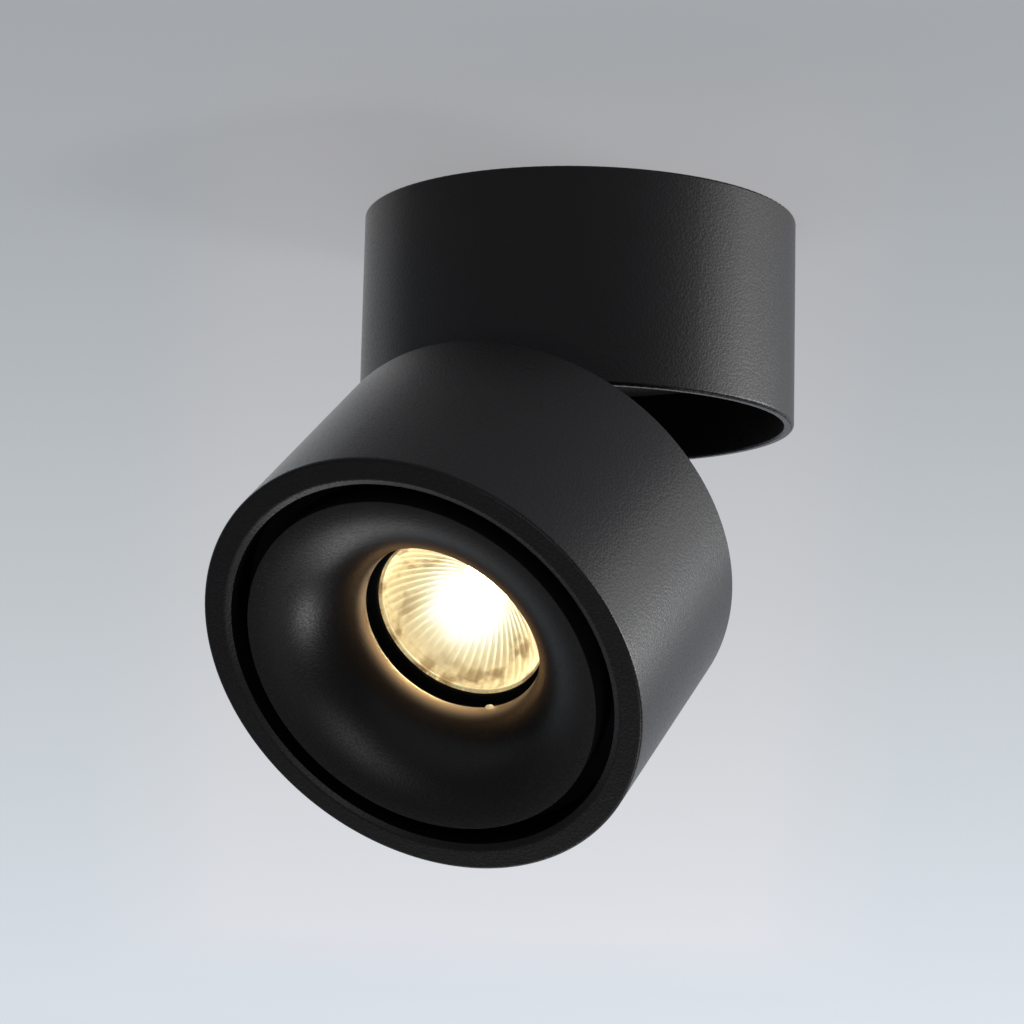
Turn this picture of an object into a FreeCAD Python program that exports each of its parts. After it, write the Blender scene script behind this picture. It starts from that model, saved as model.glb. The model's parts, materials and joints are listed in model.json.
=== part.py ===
import FreeCAD, Part
import Sketcher
import math
import os

# Surface mounted ceiling spotlight, drawn at the angle it is shown at.
#
# Z points up at the ceiling and z = 0 is the ceiling face. The canopy hangs
# below it, the swivel plate turns in the canopy about Z, and the lamp head
# swings on a friction hinge near the canopy's rim, away towards -Y.
#
# Head pieces are drawn with the head closed: their own z = 0 is the head's
# rear plane and the light leaves towards -Z. One placement tilts them all.

doc = FreeCAD.newDocument("CeilingSpotlight")
sheet = doc.addObject("Spreadsheet::Sheet", "Sizes")

DRIVING_SIZES = {
    # the two cylinders
    "body_dia": 100, "canopy_height": 48, "head_length": 53.5, "shell_wall": 2.3,
    "rim_round": 0.8, "lip_round": 0.5,
    # how the head hangs
    "closed_gap": 2.0, "hinge_inset": 6.1, "swing_gap": 0.5, "rest_tilt": 52.3,
    # clearances
    "run_clear": 0.06, "face_clear": 0.2, "fit_clear": 0.1, "side_clear": 0.1,
    # ceiling strip and its side screws
    "bracket_angle": 28, "strip_width": 16, "strip_thick": 1.5, "tab_drop": 16,
    "tab_corner_gap": 0.12, "bend_round": 1.0, "slot_width": 4.5, "slot_length": 12,
    "slot_centre": 19, "mount_hole_dia": 4.5, "mount_hole_pitch": 64, "cable_hole_dia": 14,
    "side_screw_drop": 10, "screw_dia": 3, "screw_head_dia": 5.6, "screw_head_height": 1.7,
    "side_screw_length": 8, "socket_width": 2, "socket_depth": 1.1, "hole_bottom": 1,
    # canopy floor, its bosses, its bush and the stop
    "hollow_depth": 20, "floor_thick": 2.5, "floor_boss_dia": 7.2, "floor_boss_length": 10,
    "floor_screw_length": 8, "boss_merge": 0.6, "bush_sleeve_dia": 14, "bush_flange_dia": 24,
    "bush_flange_thick": 2, "bush_stand": 0.5, "nipple_dia": 10, "nipple_bore": 7,
    "nipple_flange_dia": 16, "nipple_flange_thick": 1.5, "nipple_end": 1.2,
    "stop_radius": 18, "stop_dia": 4, "stop_neck_dia": 3,
    "washer_dia": 18, "washer_thick": 1, "spring_thick": 0.6, "spring_rise": 0.6,
    "locknut_width": 14, "locknut_height": 4.5,
    # driver and terminals
    "driver_length": 52, "driver_height": 19, "driver_gap": 1, "driver_shell_gap": 1.6,
    "driver_wall": 1.2, "driver_lid_height": 4, "driver_ear": 5.5, "driver_ear_thick": 2,
    "board_thick": 1.6, "board_gap": 0.6, "board_stand": 1.5,
    "coil_length": 16, "coil_width": 14, "coil_height": 10, "capacitor_dia": 9,
    "capacitor_height": 11, "small_can_dia": 7.2, "small_can_height": 8.8, "can_side": 16,
    "board_post_dia": 5, "board_post_side": 13,
    "terminal_length": 27, "terminal_width": 13, "terminal_height": 12, "terminal_side": 14,
    "terminal_hole": 3.4, "terminal_well": 4.4, "terminal_core": 6, "sleeve_inset": 1,
    "well_gap": 0.4,
    "earth_inset": 14.1, "earth_dia": 4, "earth_head_dia": 7.5, "tag_dia": 9,
    "tag_thick": 0.8, "tag_tail": 10,
    # swivel plate and hinge
    "plate_gap": 0.5, "plate_thick": 1.5, "hinge_sheet": 2, "ear_radius": 4.5,
    "hinge_base_length": 22.6, "hinge_bend": 1.2, "rivet_dia": 3, "rivet_head_dia": 4.6,
    "rivet_head_height": 1, "rivet_gap": 0.5, "rivet_back": 8.6,
    "hinge_pin_dia": 4, "pin_head_dia": 7, "pin_head_height": 2.5, "hinge_nut_width": 7,
    "hinge_nut_height": 2.6, "friction_washer": 0.4, "hinge_spring_thick": 0.5,
    "hinge_spring_rise": 0.5, "pin_end": 0.3,
    # hinge arm
    "arm_half_width": 6, "arm_sheet": 1.5, "arm_base_half": 12, "arm_base_thick": 2,
    "arm_neck": 13.5, "arm_base_length": 18.5, "arm_top_run": 8, "arm_screw_x": 9,
    "arm_screw_inset": 4, "arm_corner": 2, "arm_spacer_dia": 7, "cap_head_dia": 5,
    # head casing
    "recess": 4, "cover_thick": 2.5, "casing_wall": 4, "front_land": 5, "front_chamfer": 1.25,
    "front_rim_depth": 9, "head_round": 0.6, "rear_chamfer": 1.0,
    "boss_dia": 7.2, "boss_length": 14, "cover_screw_length": 9,
    "grommet_y": 8, "grommet_hole": 9, "grommet_flange": 13, "grommet_bore": 4.5,
    "grommet_lip": 1.5,
    # heatsink and light engine
    "sink_gap": 1.2, "sink_base": 4, "fin_height": 4.5, "fin_thick": 1.4, "fin_pitch": 4.5,
    "fin_count": 9, "fin_start": -6, "head_room": 2, "chip_board": 16, "chip_board_thick": 1,
    "emitter_dia": 11, "emitter_thick": 0.4, "holder_dia": 38, "holder_thick": 3,
    "holder_gap": 0.4, "holder_flare": 3.2, "holder_screw_inset": 3,
    # optics
    "rim_setback": 4.8, "reflector_rim_dia": 38.6, "flute_count": 48, "flute_depth": 0.35,
    "exit_gap": 0.5, "reflector_wall": 0.9, "reflector_curve": 30,
    "reflector_flange": 2, "flange_thick": 0.8, "glass_thick": 1,
    "retainer_thick": 0.8, "retainer_width": 1, "retainer_gap": 8,
    "tube_wall": 2.5, "tube_step": 1.3, "tube_base_thick": 2.5, "tube_screw_gap": 0.6,
    "tube_edge": 3, "notch_gap": 0.4,
    # baffle and its seat
    "groove": 4.15, "baffle_inset": 0.5, "baffle_depth": 17.5, "baffle_overhang": 1,
    "lip_cover": 0.65, "baffle_wall": 1.8, "baffle_edge": 1.6,
    "collar_wall": 2, "collar_length": 8, "lip_thick": 0.5,
    "seat_thick": 1.5, "seat_gap": 1, "post_dia": 6, "post_gap": 1.5,
    "post_screw_length": 10,
}

for row, (alias, length) in enumerate(DRIVING_SIZES.items(), start=1):
    sheet.set(f"A{row}", alias)
    sheet.set(f"B{row}", str(length))
    sheet.setAlias(f"B{row}", alias)
doc.recompute()


class Size:
    """A length or an angle, written as an expression on the sheet's cells."""

    def __init__(self, text):
        self.text = str(text)

    def __str__(self):
        return self.text

    def __add__(self, other):
        return Size(f"({self} + {other})")

    def __radd__(self, other):
        return Size(f"({other} + {self})")

    def __sub__(self, other):
        return Size(f"({self} - {other})")

    def __rsub__(self, other):
        return Size(f"({other} - {self})")

    def __mul__(self, other):
        return Size(f"({self} * {other})")

    def __rmul__(self, other):
        return Size(f"({other} * {self})")

    def __truediv__(self, other):
        return Size(f"({self} / {other})")

    def __neg__(self):
        return Size(f"(0 - {self})")

    @property
    def number(self):
        return float(sheet.evalExpression(self.text))


class Sheet:
    """Reads a cell by its alias: S.body_dia is the body's diameter."""

    def __getattr__(self, alias):
        return Size(f"Sizes.{alias}")


S = Sheet()


def function(name, *sizes):
    """A function of sizes, such as the sine of an angle in degrees."""
    return Size(f"{name}({'; '.join(str(size) for size in sizes)})")


def square(size):
    return size * size


def root(size):
    return function("sqrt", size)


# ---- drawing helpers ---------------------------------------------------------

NODES = []


def number(size):
    """The present value of a size, or of a plain number."""
    return size.number if isinstance(size, Size) else float(size)


def bind(thing, **sizes):
    """Binds properties of an object to sizes on the sheet."""
    for name, size in sizes.items():
        thing.setExpression(name, str(size))


def node(thing, name, place=None):
    """Labels a finished sub-part with its node's name and puts it in its place."""
    thing.Label = name
    if place is not None:
        place(thing)
    NODES.append(thing)
    return thing


def new_body(name):
    return doc.addObject("PartDesign::Body", name)


def sketch_on(body, role, level=0):
    """A sketch on one of the body's own planes, lifted off it by a size."""
    drawing = body.newObject("Sketcher::SketchObject", body.Name + "Sketch")
    plane = [each for each in body.Origin.OriginFeatures if each.Role == role][0]
    drawing.AttachmentSupport = [(plane, "")]
    drawing.MapMode = "FlatFace"
    drawing.setExpression("AttachmentOffset.Base.z", str(level))
    return drawing


def fix_point(drawing, element, position, corner):
    """Holds one point of a sketch element at its two sizes."""
    for axis, size in zip(("DistanceX", "DistanceY"), corner):
        constraint = Sketcher.Constraint(axis, -1, 1, element, position, number(size))
        index = drawing.addConstraint(constraint)
        drawing.setExpression(f"Constraints[{index}]", str(size))


def size_arc(drawing, element, start, end, corner):
    """Sizes an arc by its radius, or a half circle by where its centre lies."""
    radius = corner[2] if number(corner[2]) > 0 else -corner[2]
    if (end - start).Length < 1.999 * number(radius):
        index = drawing.addConstraint(Sketcher.Constraint("Radius", element, number(radius)))
        drawing.setExpression(f"Constraints[{index}]", str(radius))
        return
    upright = abs(end.x - start.x) < abs(end.y - start.y)
    axis, size = ("DistanceX", corner[0]) if upright else ("DistanceY", corner[1])
    index = drawing.addConstraint(Sketcher.Constraint(axis, -1, 1, element, 3, number(size)))
    drawing.setExpression(f"Constraints[{index}]", str(size))


def draw_outline(drawing, corners):
    """A closed outline. A corner is (x, y), or (x, y, radius) where an arc of that
    radius leads to it from the corner before, turning left if it is positive."""
    spots = [FreeCAD.Vector(number(c[0]), number(c[1]), 0) for c in corners]
    first = drawing.GeometryCount
    count = len(corners)
    shapes = []
    for i in range(count):
        start = spots[i - 1]
        end = spots[i]
        if len(corners[i]) == 2:
            shapes.append(Part.LineSegment(start, end))
            continue
        radius = number(corners[i][2])
        chord = end - start
        half = chord.Length / 2
        drop = math.sqrt(max(radius * radius - half * half, 0))
        left = FreeCAD.Vector(-chord.y, chord.x, 0).normalize()
        side = 1 if radius > 0 else -1
        centre = (start + end) * 0.5 + left * drop * side
        middle = centre - left * abs(radius) * side
        shapes.append(Part.Arc(start, middle, end))
    drawing.addGeometry(shapes, False)
    for i, corner in enumerate(corners):
        turns_right = len(corner) == 3 and number(corner[2]) < 0
        last = 1 if turns_right else 2
        after = (i + 1) % count
        after_right = len(corners[after]) == 3 and number(corners[after][2]) < 0
        after_entry = 2 if after_right else 1
        joint = Sketcher.Constraint("Coincident", first + i, last, first + after, after_entry)
        drawing.addConstraint(joint)
        fix_point(drawing, first + i, last, corner)
        if len(corner) == 3:
            size_arc(drawing, first + i, spots[i - 1], spots[i], corner)


def draw_circle(drawing, x, y, diameter):
    centre = FreeCAD.Vector(number(x), number(y), 0)
    normal = FreeCAD.Vector(0, 0, 1)
    element = drawing.addGeometry(Part.Circle(centre, normal, number(diameter) / 2), False)
    fix_point(drawing, element, 3, (x, y))
    index = drawing.addConstraint(Sketcher.Constraint("Diameter", element, number(diameter)))
    drawing.setExpression(f"Constraints[{index}]", str(diameter))


def draw_rectangle(drawing, x_low, y_low, x_high, y_high):
    draw_outline(drawing, [(x_low, y_low), (x_high, y_low), (x_high, y_high), (x_low, y_high)])


def draw_hexagon(drawing, width):
    """A hexagon round the origin, by its width across flats."""
    reach = width / math.sqrt(3)
    corners = [(reach * math.cos(math.radians(a)), reach * math.sin(math.radians(a)))
               for a in range(0, 360, 60)]
    draw_outline(drawing, corners)


def revolve(body, corners):
    """Turns an outline of (radius, height) corners about the body's Z axis."""
    drawing = sketch_on(body, "XZ_Plane")
    draw_outline(drawing, corners)
    turned = body.newObject("PartDesign::Revolution", body.Name + "Turned")
    turned.Profile = drawing
    turned.ReferenceAxis = (drawing, ["V_Axis"])
    turned.Angle = 360
    return body


def turned_body(name, corners):
    return revolve(new_body(name), corners)


def pad(body, role, level, length, draw):
    """Adds the drawn outlines, from a level over a length along the plane's normal."""
    drawing = sketch_on(body, role, level)
    draw(drawing)
    added = body.newObject("PartDesign::Pad", body.Name + "Pad")
    added.Profile = drawing
    bind(added, Length=length)
    return added


def pocket(body, role, level, length, draw):
    """Cuts the drawn outlines, from a level over a length along the plane's normal."""
    drawing = sketch_on(body, role, level)
    draw(drawing)
    cut = body.newObject("PartDesign::Pocket", body.Name + "Pocket")
    cut.Profile = drawing
    cut.Reversed = True
    bind(cut, Length=length)
    return cut


def repeat_round(body, feature, count):
    """Repeats a feature evenly round the body's Z axis."""
    pattern = body.newObject("PartDesign::PolarPattern", body.Name + "Round")
    pattern.Originals = [feature]
    axis = [each for each in body.Origin.OriginFeatures if each.Role == "Z_Axis"][0]
    pattern.Axis = (axis, [""])
    pattern.Angle = 360
    pattern.Occurrences = count
    body.Tip = pattern
    return pattern


def group(name, pieces, place=None):
    """Several separate solids of one kind that share a node."""
    bundle = doc.addObject("Part::Compound", name.title().replace("_", ""))
    bundle.Links = pieces
    return node(bundle, name, place)


# ---- where things are --------------------------------------------------------

BODY_R = S.body_dia / 2
BORE_R = BODY_R - S.shell_wall
CANOPY_RIM = -S.canopy_height
FLOOR_UNDER = CANOPY_RIM + S.hollow_depth
FLOOR_TOP = FLOOR_UNDER + S.floor_thick
PLATE_TOP = FLOOR_UNDER - S.bush_flange_thick - S.face_clear
PLATE_UNDER = PLATE_TOP - S.plate_thick
HINGE_BASE_UNDER = PLATE_UNDER - S.hinge_sheet
HINGE_OUT = BORE_R - S.hinge_inset
HINGE_Z = HINGE_BASE_UNDER - S.swing_gap - S.ear_radius

# on the head, from its rear plane towards the light
PIVOT_UP = S.closed_gap + HINGE_Z - CANOPY_RIM
FRONT = -S.head_length
COVER_TOP = -S.recess
COVER_UNDER = COVER_TOP - S.cover_thick
SINK_BACK = COVER_UNDER - S.fin_height
SINK_FACE = SINK_BACK - S.sink_base
CHIP_FACE = SINK_FACE - S.chip_board_thick
EMITTER_TOP = CHIP_FACE - S.emitter_thick
BAFFLE_FACE = FRONT + S.baffle_inset
BAFFLE_LIP = BAFFLE_FACE + S.baffle_depth
TUBE_FRONT = BAFFLE_LIP + S.lip_thick
RIM_PLANE = TUBE_FRONT + S.rim_setback
FLANGE_SEAT = RIM_PLANE + S.flange_thick
GLASS_FRONT = RIM_PLANE - S.glass_thick
RETAINER_FRONT = GLASS_FRONT - S.retainer_thick
SEAT_FRONT = FRONT + S.front_rim_depth
SEAT_BACK = SEAT_FRONT + S.seat_thick

# across the head, from the optics outwards
RIM_R = S.reflector_rim_dia / 2
FLANGE_R = RIM_R + S.reflector_flange
EXIT_R = S.emitter_dia / 2 + S.exit_gap
TUBE_BORE_R = FLANGE_R + S.fit_clear
TUBE_R = TUBE_BORE_R + S.tube_wall
COLLAR_R = TUBE_R + S.fit_clear
COLLAR_OUT = COLLAR_R + S.collar_wall
MOUTH_R = TUBE_BORE_R - S.lip_cover
TUBE_SCREW_R = TUBE_R + S.tube_screw_gap + S.cap_head_dia / 2
TUBE_BASE_R = TUBE_SCREW_R + S.tube_edge

# across the head, from the casing inwards
CASING_BORE_R = BODY_R - S.casing_wall
COVER_R = BORE_R - S.fit_clear
BOSS_R = CASING_BORE_R - S.boss_dia / 2 + S.boss_merge
SINK_R = BOSS_R - S.boss_dia / 2 - S.sink_gap
LAND_R = BODY_R - S.front_land
THROAT_R = LAND_R - S.front_chamfer
BAFFLE_R = THROAT_R - S.groove

# The baffle's trumpet is an arc about (TRUMPET_R, TRUMPET_Z), through its outer edge
# and its mouth.
TRUMPET_R = BAFFLE_R + S.baffle_overhang
TRUMPET_RISE = (square(TRUMPET_R - MOUTH_R) + square(S.baffle_depth)
                - square(S.baffle_overhang)) / (2 * S.baffle_depth)
TRUMPET_Z = BAFFLE_FACE + TRUMPET_RISE
TRUMPET_CURVE = root(square(TRUMPET_RISE) + square(S.baffle_overhang))
BACK_CURVE = TRUMPET_CURVE - S.baffle_wall


def trumpet_height(radius, curve):
    """The height of the baffle's trumpet, or of its back, at a radius from the axis."""
    return TRUMPET_Z - root(square(curve) - square(TRUMPET_R - radius))


BACK_AT_SEAT = TRUMPET_R - root(square(BACK_CURVE) - square(TRUMPET_Z - SEAT_FRONT))
SEAT_BORE_R = function("max", BACK_AT_SEAT + S.seat_gap, COLLAR_OUT + S.post_gap)
POST_R = SEAT_BORE_R + S.post_dia / 2


def in_canopy(thing):
    """The canopy's own pieces are drawn with the ceiling strip along X."""
    thing.Placement.Rotation = FreeCAD.Rotation(FreeCAD.Vector(0, 0, 1), 1)
    thing.setExpression("Placement.Rotation.Angle", str(S.bracket_angle))


def in_head(thing):
    """Hangs a head piece on the hinge, opened to the tilt it rests at."""
    sine = function("sin", S.rest_tilt)
    cosine = function("cos", S.rest_tilt)
    swing = HINGE_OUT - HINGE_OUT * cosine + PIVOT_UP * sine
    drop = HINGE_Z - HINGE_OUT * sine - PIVOT_UP * cosine
    thing.Placement.Rotation = FreeCAD.Rotation(FreeCAD.Vector(-1, 0, 0), 1)
    thing.setExpression("Placement.Base.y", str(-swing))
    thing.setExpression("Placement.Base.z", str(drop))
    thing.setExpression("Placement.Rotation.Angle", str(S.rest_tilt))


def put(thing, x, y, z, turn_axis=None, turn=0):
    """Moves a piece to a spot, turned about an axis where one is given."""
    if turn_axis is not None:
        thing.Placement.Rotation = FreeCAD.Rotation(FreeCAD.Vector(*turn_axis), turn)
    for axis, size in zip("xyz", (x, y, z)):
        thing.setExpression(f"Placement.Base.{axis}", str(size))
    return thing


def around(radius, degrees):
    """A spot on a circle round the axis."""
    return (radius * math.cos(math.radians(degrees)), radius * math.sin(math.radians(degrees)))


# ---- fasteners ---------------------------------------------------------------

def cap_screw(name, shank_dia, length, head_dia, head_height):
    """A round headed screw with a hexagon socket. Its head sits on z = 0 and its
    shank runs down to -length."""
    body = turned_body(name, [
        (0, -length), (shank_dia / 2, -length), (shank_dia / 2, 0), (head_dia / 2, 0),
        (head_dia / 2, head_height * 0.7), (head_dia / 2 - head_height * 0.3, head_height),
        (0, head_height)])
    pocket(body, "XY_Plane", head_height - S.socket_depth, S.socket_depth,
           lambda drawing: draw_hexagon(drawing, S.socket_width))
    return body


def flat_screw(name, length):
    """A countersunk screw whose flat head is level with z = 0."""
    body = turned_body(name, [
        (0, -length), (S.screw_dia / 2, -length), (S.screw_dia / 2, -S.screw_head_height),
        (S.screw_head_dia / 2, 0), (0, 0)])
    pocket(body, "XY_Plane", -S.socket_depth, S.socket_depth,
           lambda drawing: draw_hexagon(drawing, S.socket_width))
    return body


def cone_cut(body, role, x, y, level):
    """A countersink cut on one of the body's own planes, to be sized by its caller."""
    cone = body.newObject("PartDesign::SubtractiveCone", body.Name + "Sink")
    plane = [each for each in body.Origin.OriginFeatures if each.Role == role][0]
    cone.AttachmentSupport = [(plane, "")]
    cone.MapMode = "FlatFace"
    for axis, size in zip("xyz", (x, y, level)):
        cone.setExpression(f"AttachmentOffset.Base.{axis}", str(size))
    return cone


def sink_hole(body, x, y, top, through):
    """The hole and countersink that a flat screw drops into from above."""
    pocket(body, "XY_Plane", top - through, through,
           lambda drawing: draw_circle(drawing, x, y, S.screw_dia + 2 * S.fit_clear))
    cone = cone_cut(body, "XY_Plane", x, y, top - S.screw_head_height)
    bind(cone, Radius1=S.screw_dia / 2 + S.fit_clear, Radius2=S.screw_head_dia / 2 + S.fit_clear,
         Height=S.screw_head_height)


def hex_nut(name, width, height, bore_dia):
    body = new_body(name)
    pad(body, "XY_Plane", 0, height, lambda drawing: draw_hexagon(drawing, width))
    pocket(body, "XY_Plane", 0, height, lambda drawing: draw_circle(drawing, 0, 0, bore_dia))
    return body


def disc_spring(name, bore_dia, outer_dia, thick, rise):
    """A conical spring washer, standing on its outer edge at z = 0."""
    return turned_body(name, [
        (bore_dia / 2, rise), (outer_dia / 2, 0), (outer_dia / 2, thick),
        (bore_dia / 2, thick + rise)])


# ---- canopy ------------------------------------------------------------------

TAB_FACE = root(square(BORE_R - S.tab_corner_gap) - square(S.strip_width / 2))
FLOOR_BOSS_R = BORE_R - S.floor_boss_dia / 2 + S.boss_merge
FLOOR_BOSS_ANGLES = (30, 150, 270)


def make_canopy_shell():
    """A plain round shell. Three bosses inside it carry the floor."""
    shell = turned_body("CanopyShell", [
        (BORE_R, 0), (BODY_R - S.lip_round, 0),
        (BODY_R, -S.lip_round, -S.lip_round), (BODY_R, CANOPY_RIM + S.rim_round),
        (BODY_R - S.rim_round, CANOPY_RIM, -S.rim_round),
        (BORE_R + S.lip_round, CANOPY_RIM), (BORE_R, CANOPY_RIM + S.lip_round, -S.lip_round)])
    for side in (1, -1):
        hole_start = BORE_R - S.shell_wall
        level = hole_start if side > 0 else -BODY_R
        pocket(shell, "YZ_Plane", level, S.shell_wall * 2,
               lambda drawing: draw_circle(drawing, 0, -S.side_screw_drop,
                                           S.screw_dia + 2 * S.fit_clear))
        small = S.screw_dia / 2 + S.fit_clear
        large = S.screw_head_dia / 2 + S.fit_clear
        face = BODY_R - S.screw_head_height
        sink = cone_cut(shell, "YZ_Plane", 0, -S.side_screw_drop, face if side > 0 else -BODY_R)
        bind(sink, Radius1=small if side > 0 else large, Radius2=large if side > 0 else small,
             Height=S.screw_head_height)
    for angle in FLOOR_BOSS_ANGLES:
        x, y = around(FLOOR_BOSS_R, angle)
        pad(shell, "XY_Plane", FLOOR_TOP, S.floor_boss_length,
            lambda drawing: draw_circle(drawing, x, y, S.floor_boss_dia))
        pocket(shell, "XY_Plane", FLOOR_TOP, S.floor_screw_length,
               lambda drawing: draw_circle(drawing, x, y, S.screw_dia))
    node(shell, "canopy_shell", in_canopy)


def make_canopy_floor():
    """A round plate screwed up against the bosses. It carries the bush, the driver,
    the earth terminal and the lug that stops the swivel."""
    bush_r = S.bush_sleeve_dia / 2
    floor_r = BORE_R - S.fit_clear
    floor = turned_body("CanopyFloor", [
        (bush_r, FLOOR_UNDER), (floor_r, FLOOR_UNDER), (floor_r, FLOOR_TOP), (bush_r, FLOOR_TOP)])
    lug_x = S.stop_radius * function("sin", S.bracket_angle)
    lug_y = S.stop_radius * function("cos", S.bracket_angle)
    pad(floor, "XY_Plane", FLOOR_UNDER - S.bush_flange_thick, S.bush_flange_thick,
        lambda drawing: draw_circle(drawing, lug_x, lug_y, S.stop_dia))
    for x in (DRIVER_SCREW_X, -DRIVER_SCREW_X):
        pocket(floor, "XY_Plane", FLOOR_UNDER, S.floor_thick,
               lambda drawing: draw_circle(drawing, x, DRIVER_SCREW_Y, S.screw_dia))
    pocket(floor, "XY_Plane", FLOOR_UNDER, S.floor_thick,
           lambda drawing: draw_circle(drawing, EARTH_X, EARTH_Y, S.earth_dia))
    screws = []
    for angle in FLOOR_BOSS_ANGLES:
        x, y = around(FLOOR_BOSS_R, angle)
        pocket(floor, "XY_Plane", FLOOR_UNDER, S.floor_thick,
               lambda drawing: draw_circle(drawing, x, y, S.screw_dia + 2 * S.fit_clear))
        screw = cap_screw("FloorScrew", S.screw_dia,
                          S.floor_thick + S.floor_screw_length - S.hole_bottom,
                          S.cap_head_dia, S.screw_head_height)
        screws.append(put(screw, x, y, FLOOR_UNDER, (1, 0, 0), 180))
    node(floor, "canopy_floor", in_canopy)
    group("floor_screws", screws, in_canopy)


def make_ceiling_strip():
    """A steel strip bent down at both ends. The canopy slides up over it."""
    inner_face = TAB_FACE - S.strip_thick
    outer_bend = S.bend_round + S.strip_thick
    strip = new_body("CeilingBracket")

    def draw_section(drawing):
        draw_outline(drawing, [
            (-TAB_FACE, -S.tab_drop), (-inner_face, -S.tab_drop),
            (-inner_face, -outer_bend), (-inner_face + S.bend_round, -S.strip_thick, -S.bend_round),
            (inner_face - S.bend_round, -S.strip_thick), (inner_face, -outer_bend, -S.bend_round),
            (inner_face, -S.tab_drop), (TAB_FACE, -S.tab_drop), (TAB_FACE, -outer_bend),
            (TAB_FACE - outer_bend, 0, outer_bend), (-TAB_FACE + outer_bend, 0),
            (-TAB_FACE, -outer_bend, outer_bend)])

    section = pad(strip, "XZ_Plane", 0, S.strip_width, draw_section)
    section.Midplane = True
    pocket(strip, "XY_Plane", -S.strip_thick, S.strip_thick,
           lambda drawing: draw_circle(drawing, 0, 0, S.cable_hole_dia))
    for side in (1, -1):
        end = S.slot_length / 2 - S.slot_width / 2
        half = S.slot_width / 2
        near = side * S.slot_centre - end
        far = side * S.slot_centre + end
        pocket(strip, "XY_Plane", -S.strip_thick, S.strip_thick,
               lambda drawing: draw_outline(drawing, [
                   (near, -half, half), (far, -half), (far, half, half), (near, half)]))
        pocket(strip, "XY_Plane", -S.strip_thick, S.strip_thick,
               lambda drawing: draw_circle(drawing, side * S.mount_hole_pitch / 2, 0,
                                           S.mount_hole_dia))
        level = inner_face if side > 0 else -TAB_FACE
        pocket(strip, "YZ_Plane", level, S.strip_thick,
               lambda drawing: draw_circle(drawing, 0, -S.side_screw_drop, S.screw_dia))
    node(strip, "ceiling_bracket", in_canopy)


def make_side_screws():
    screws = []
    for side in (1, -1):
        screw = flat_screw("CanopySideScrew", S.side_screw_length)
        put(screw, side * (BODY_R - S.fit_clear), 0, -S.side_screw_drop, (0, 1, 0), 90 * side)
        screws.append(screw)
    group("canopy_side_screws", screws, in_canopy)


# ---- driver and terminals ----------------------------------------------------

DRIVER_X = S.driver_length / 2
DRIVER_NEAR = S.washer_dia / 2 + S.driver_gap
DRIVER_FAR = root(square(BORE_R - S.driver_shell_gap) - square(DRIVER_X))
DRIVER_TOP = FLOOR_TOP + S.driver_height
LID_UNDER = DRIVER_TOP - S.driver_lid_height
DRIVER_SCREW_X = DRIVER_X + S.driver_ear / 2
DRIVER_SCREW_Y = (DRIVER_NEAR + DRIVER_FAR) / 2
BOARD_UNDER = FLOOR_TOP + S.driver_wall + S.board_stand
BOARD_TOP = BOARD_UNDER + S.board_thick
EARTH_X, EARTH_Y = around(BORE_R - S.earth_inset, -36.5)


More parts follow.
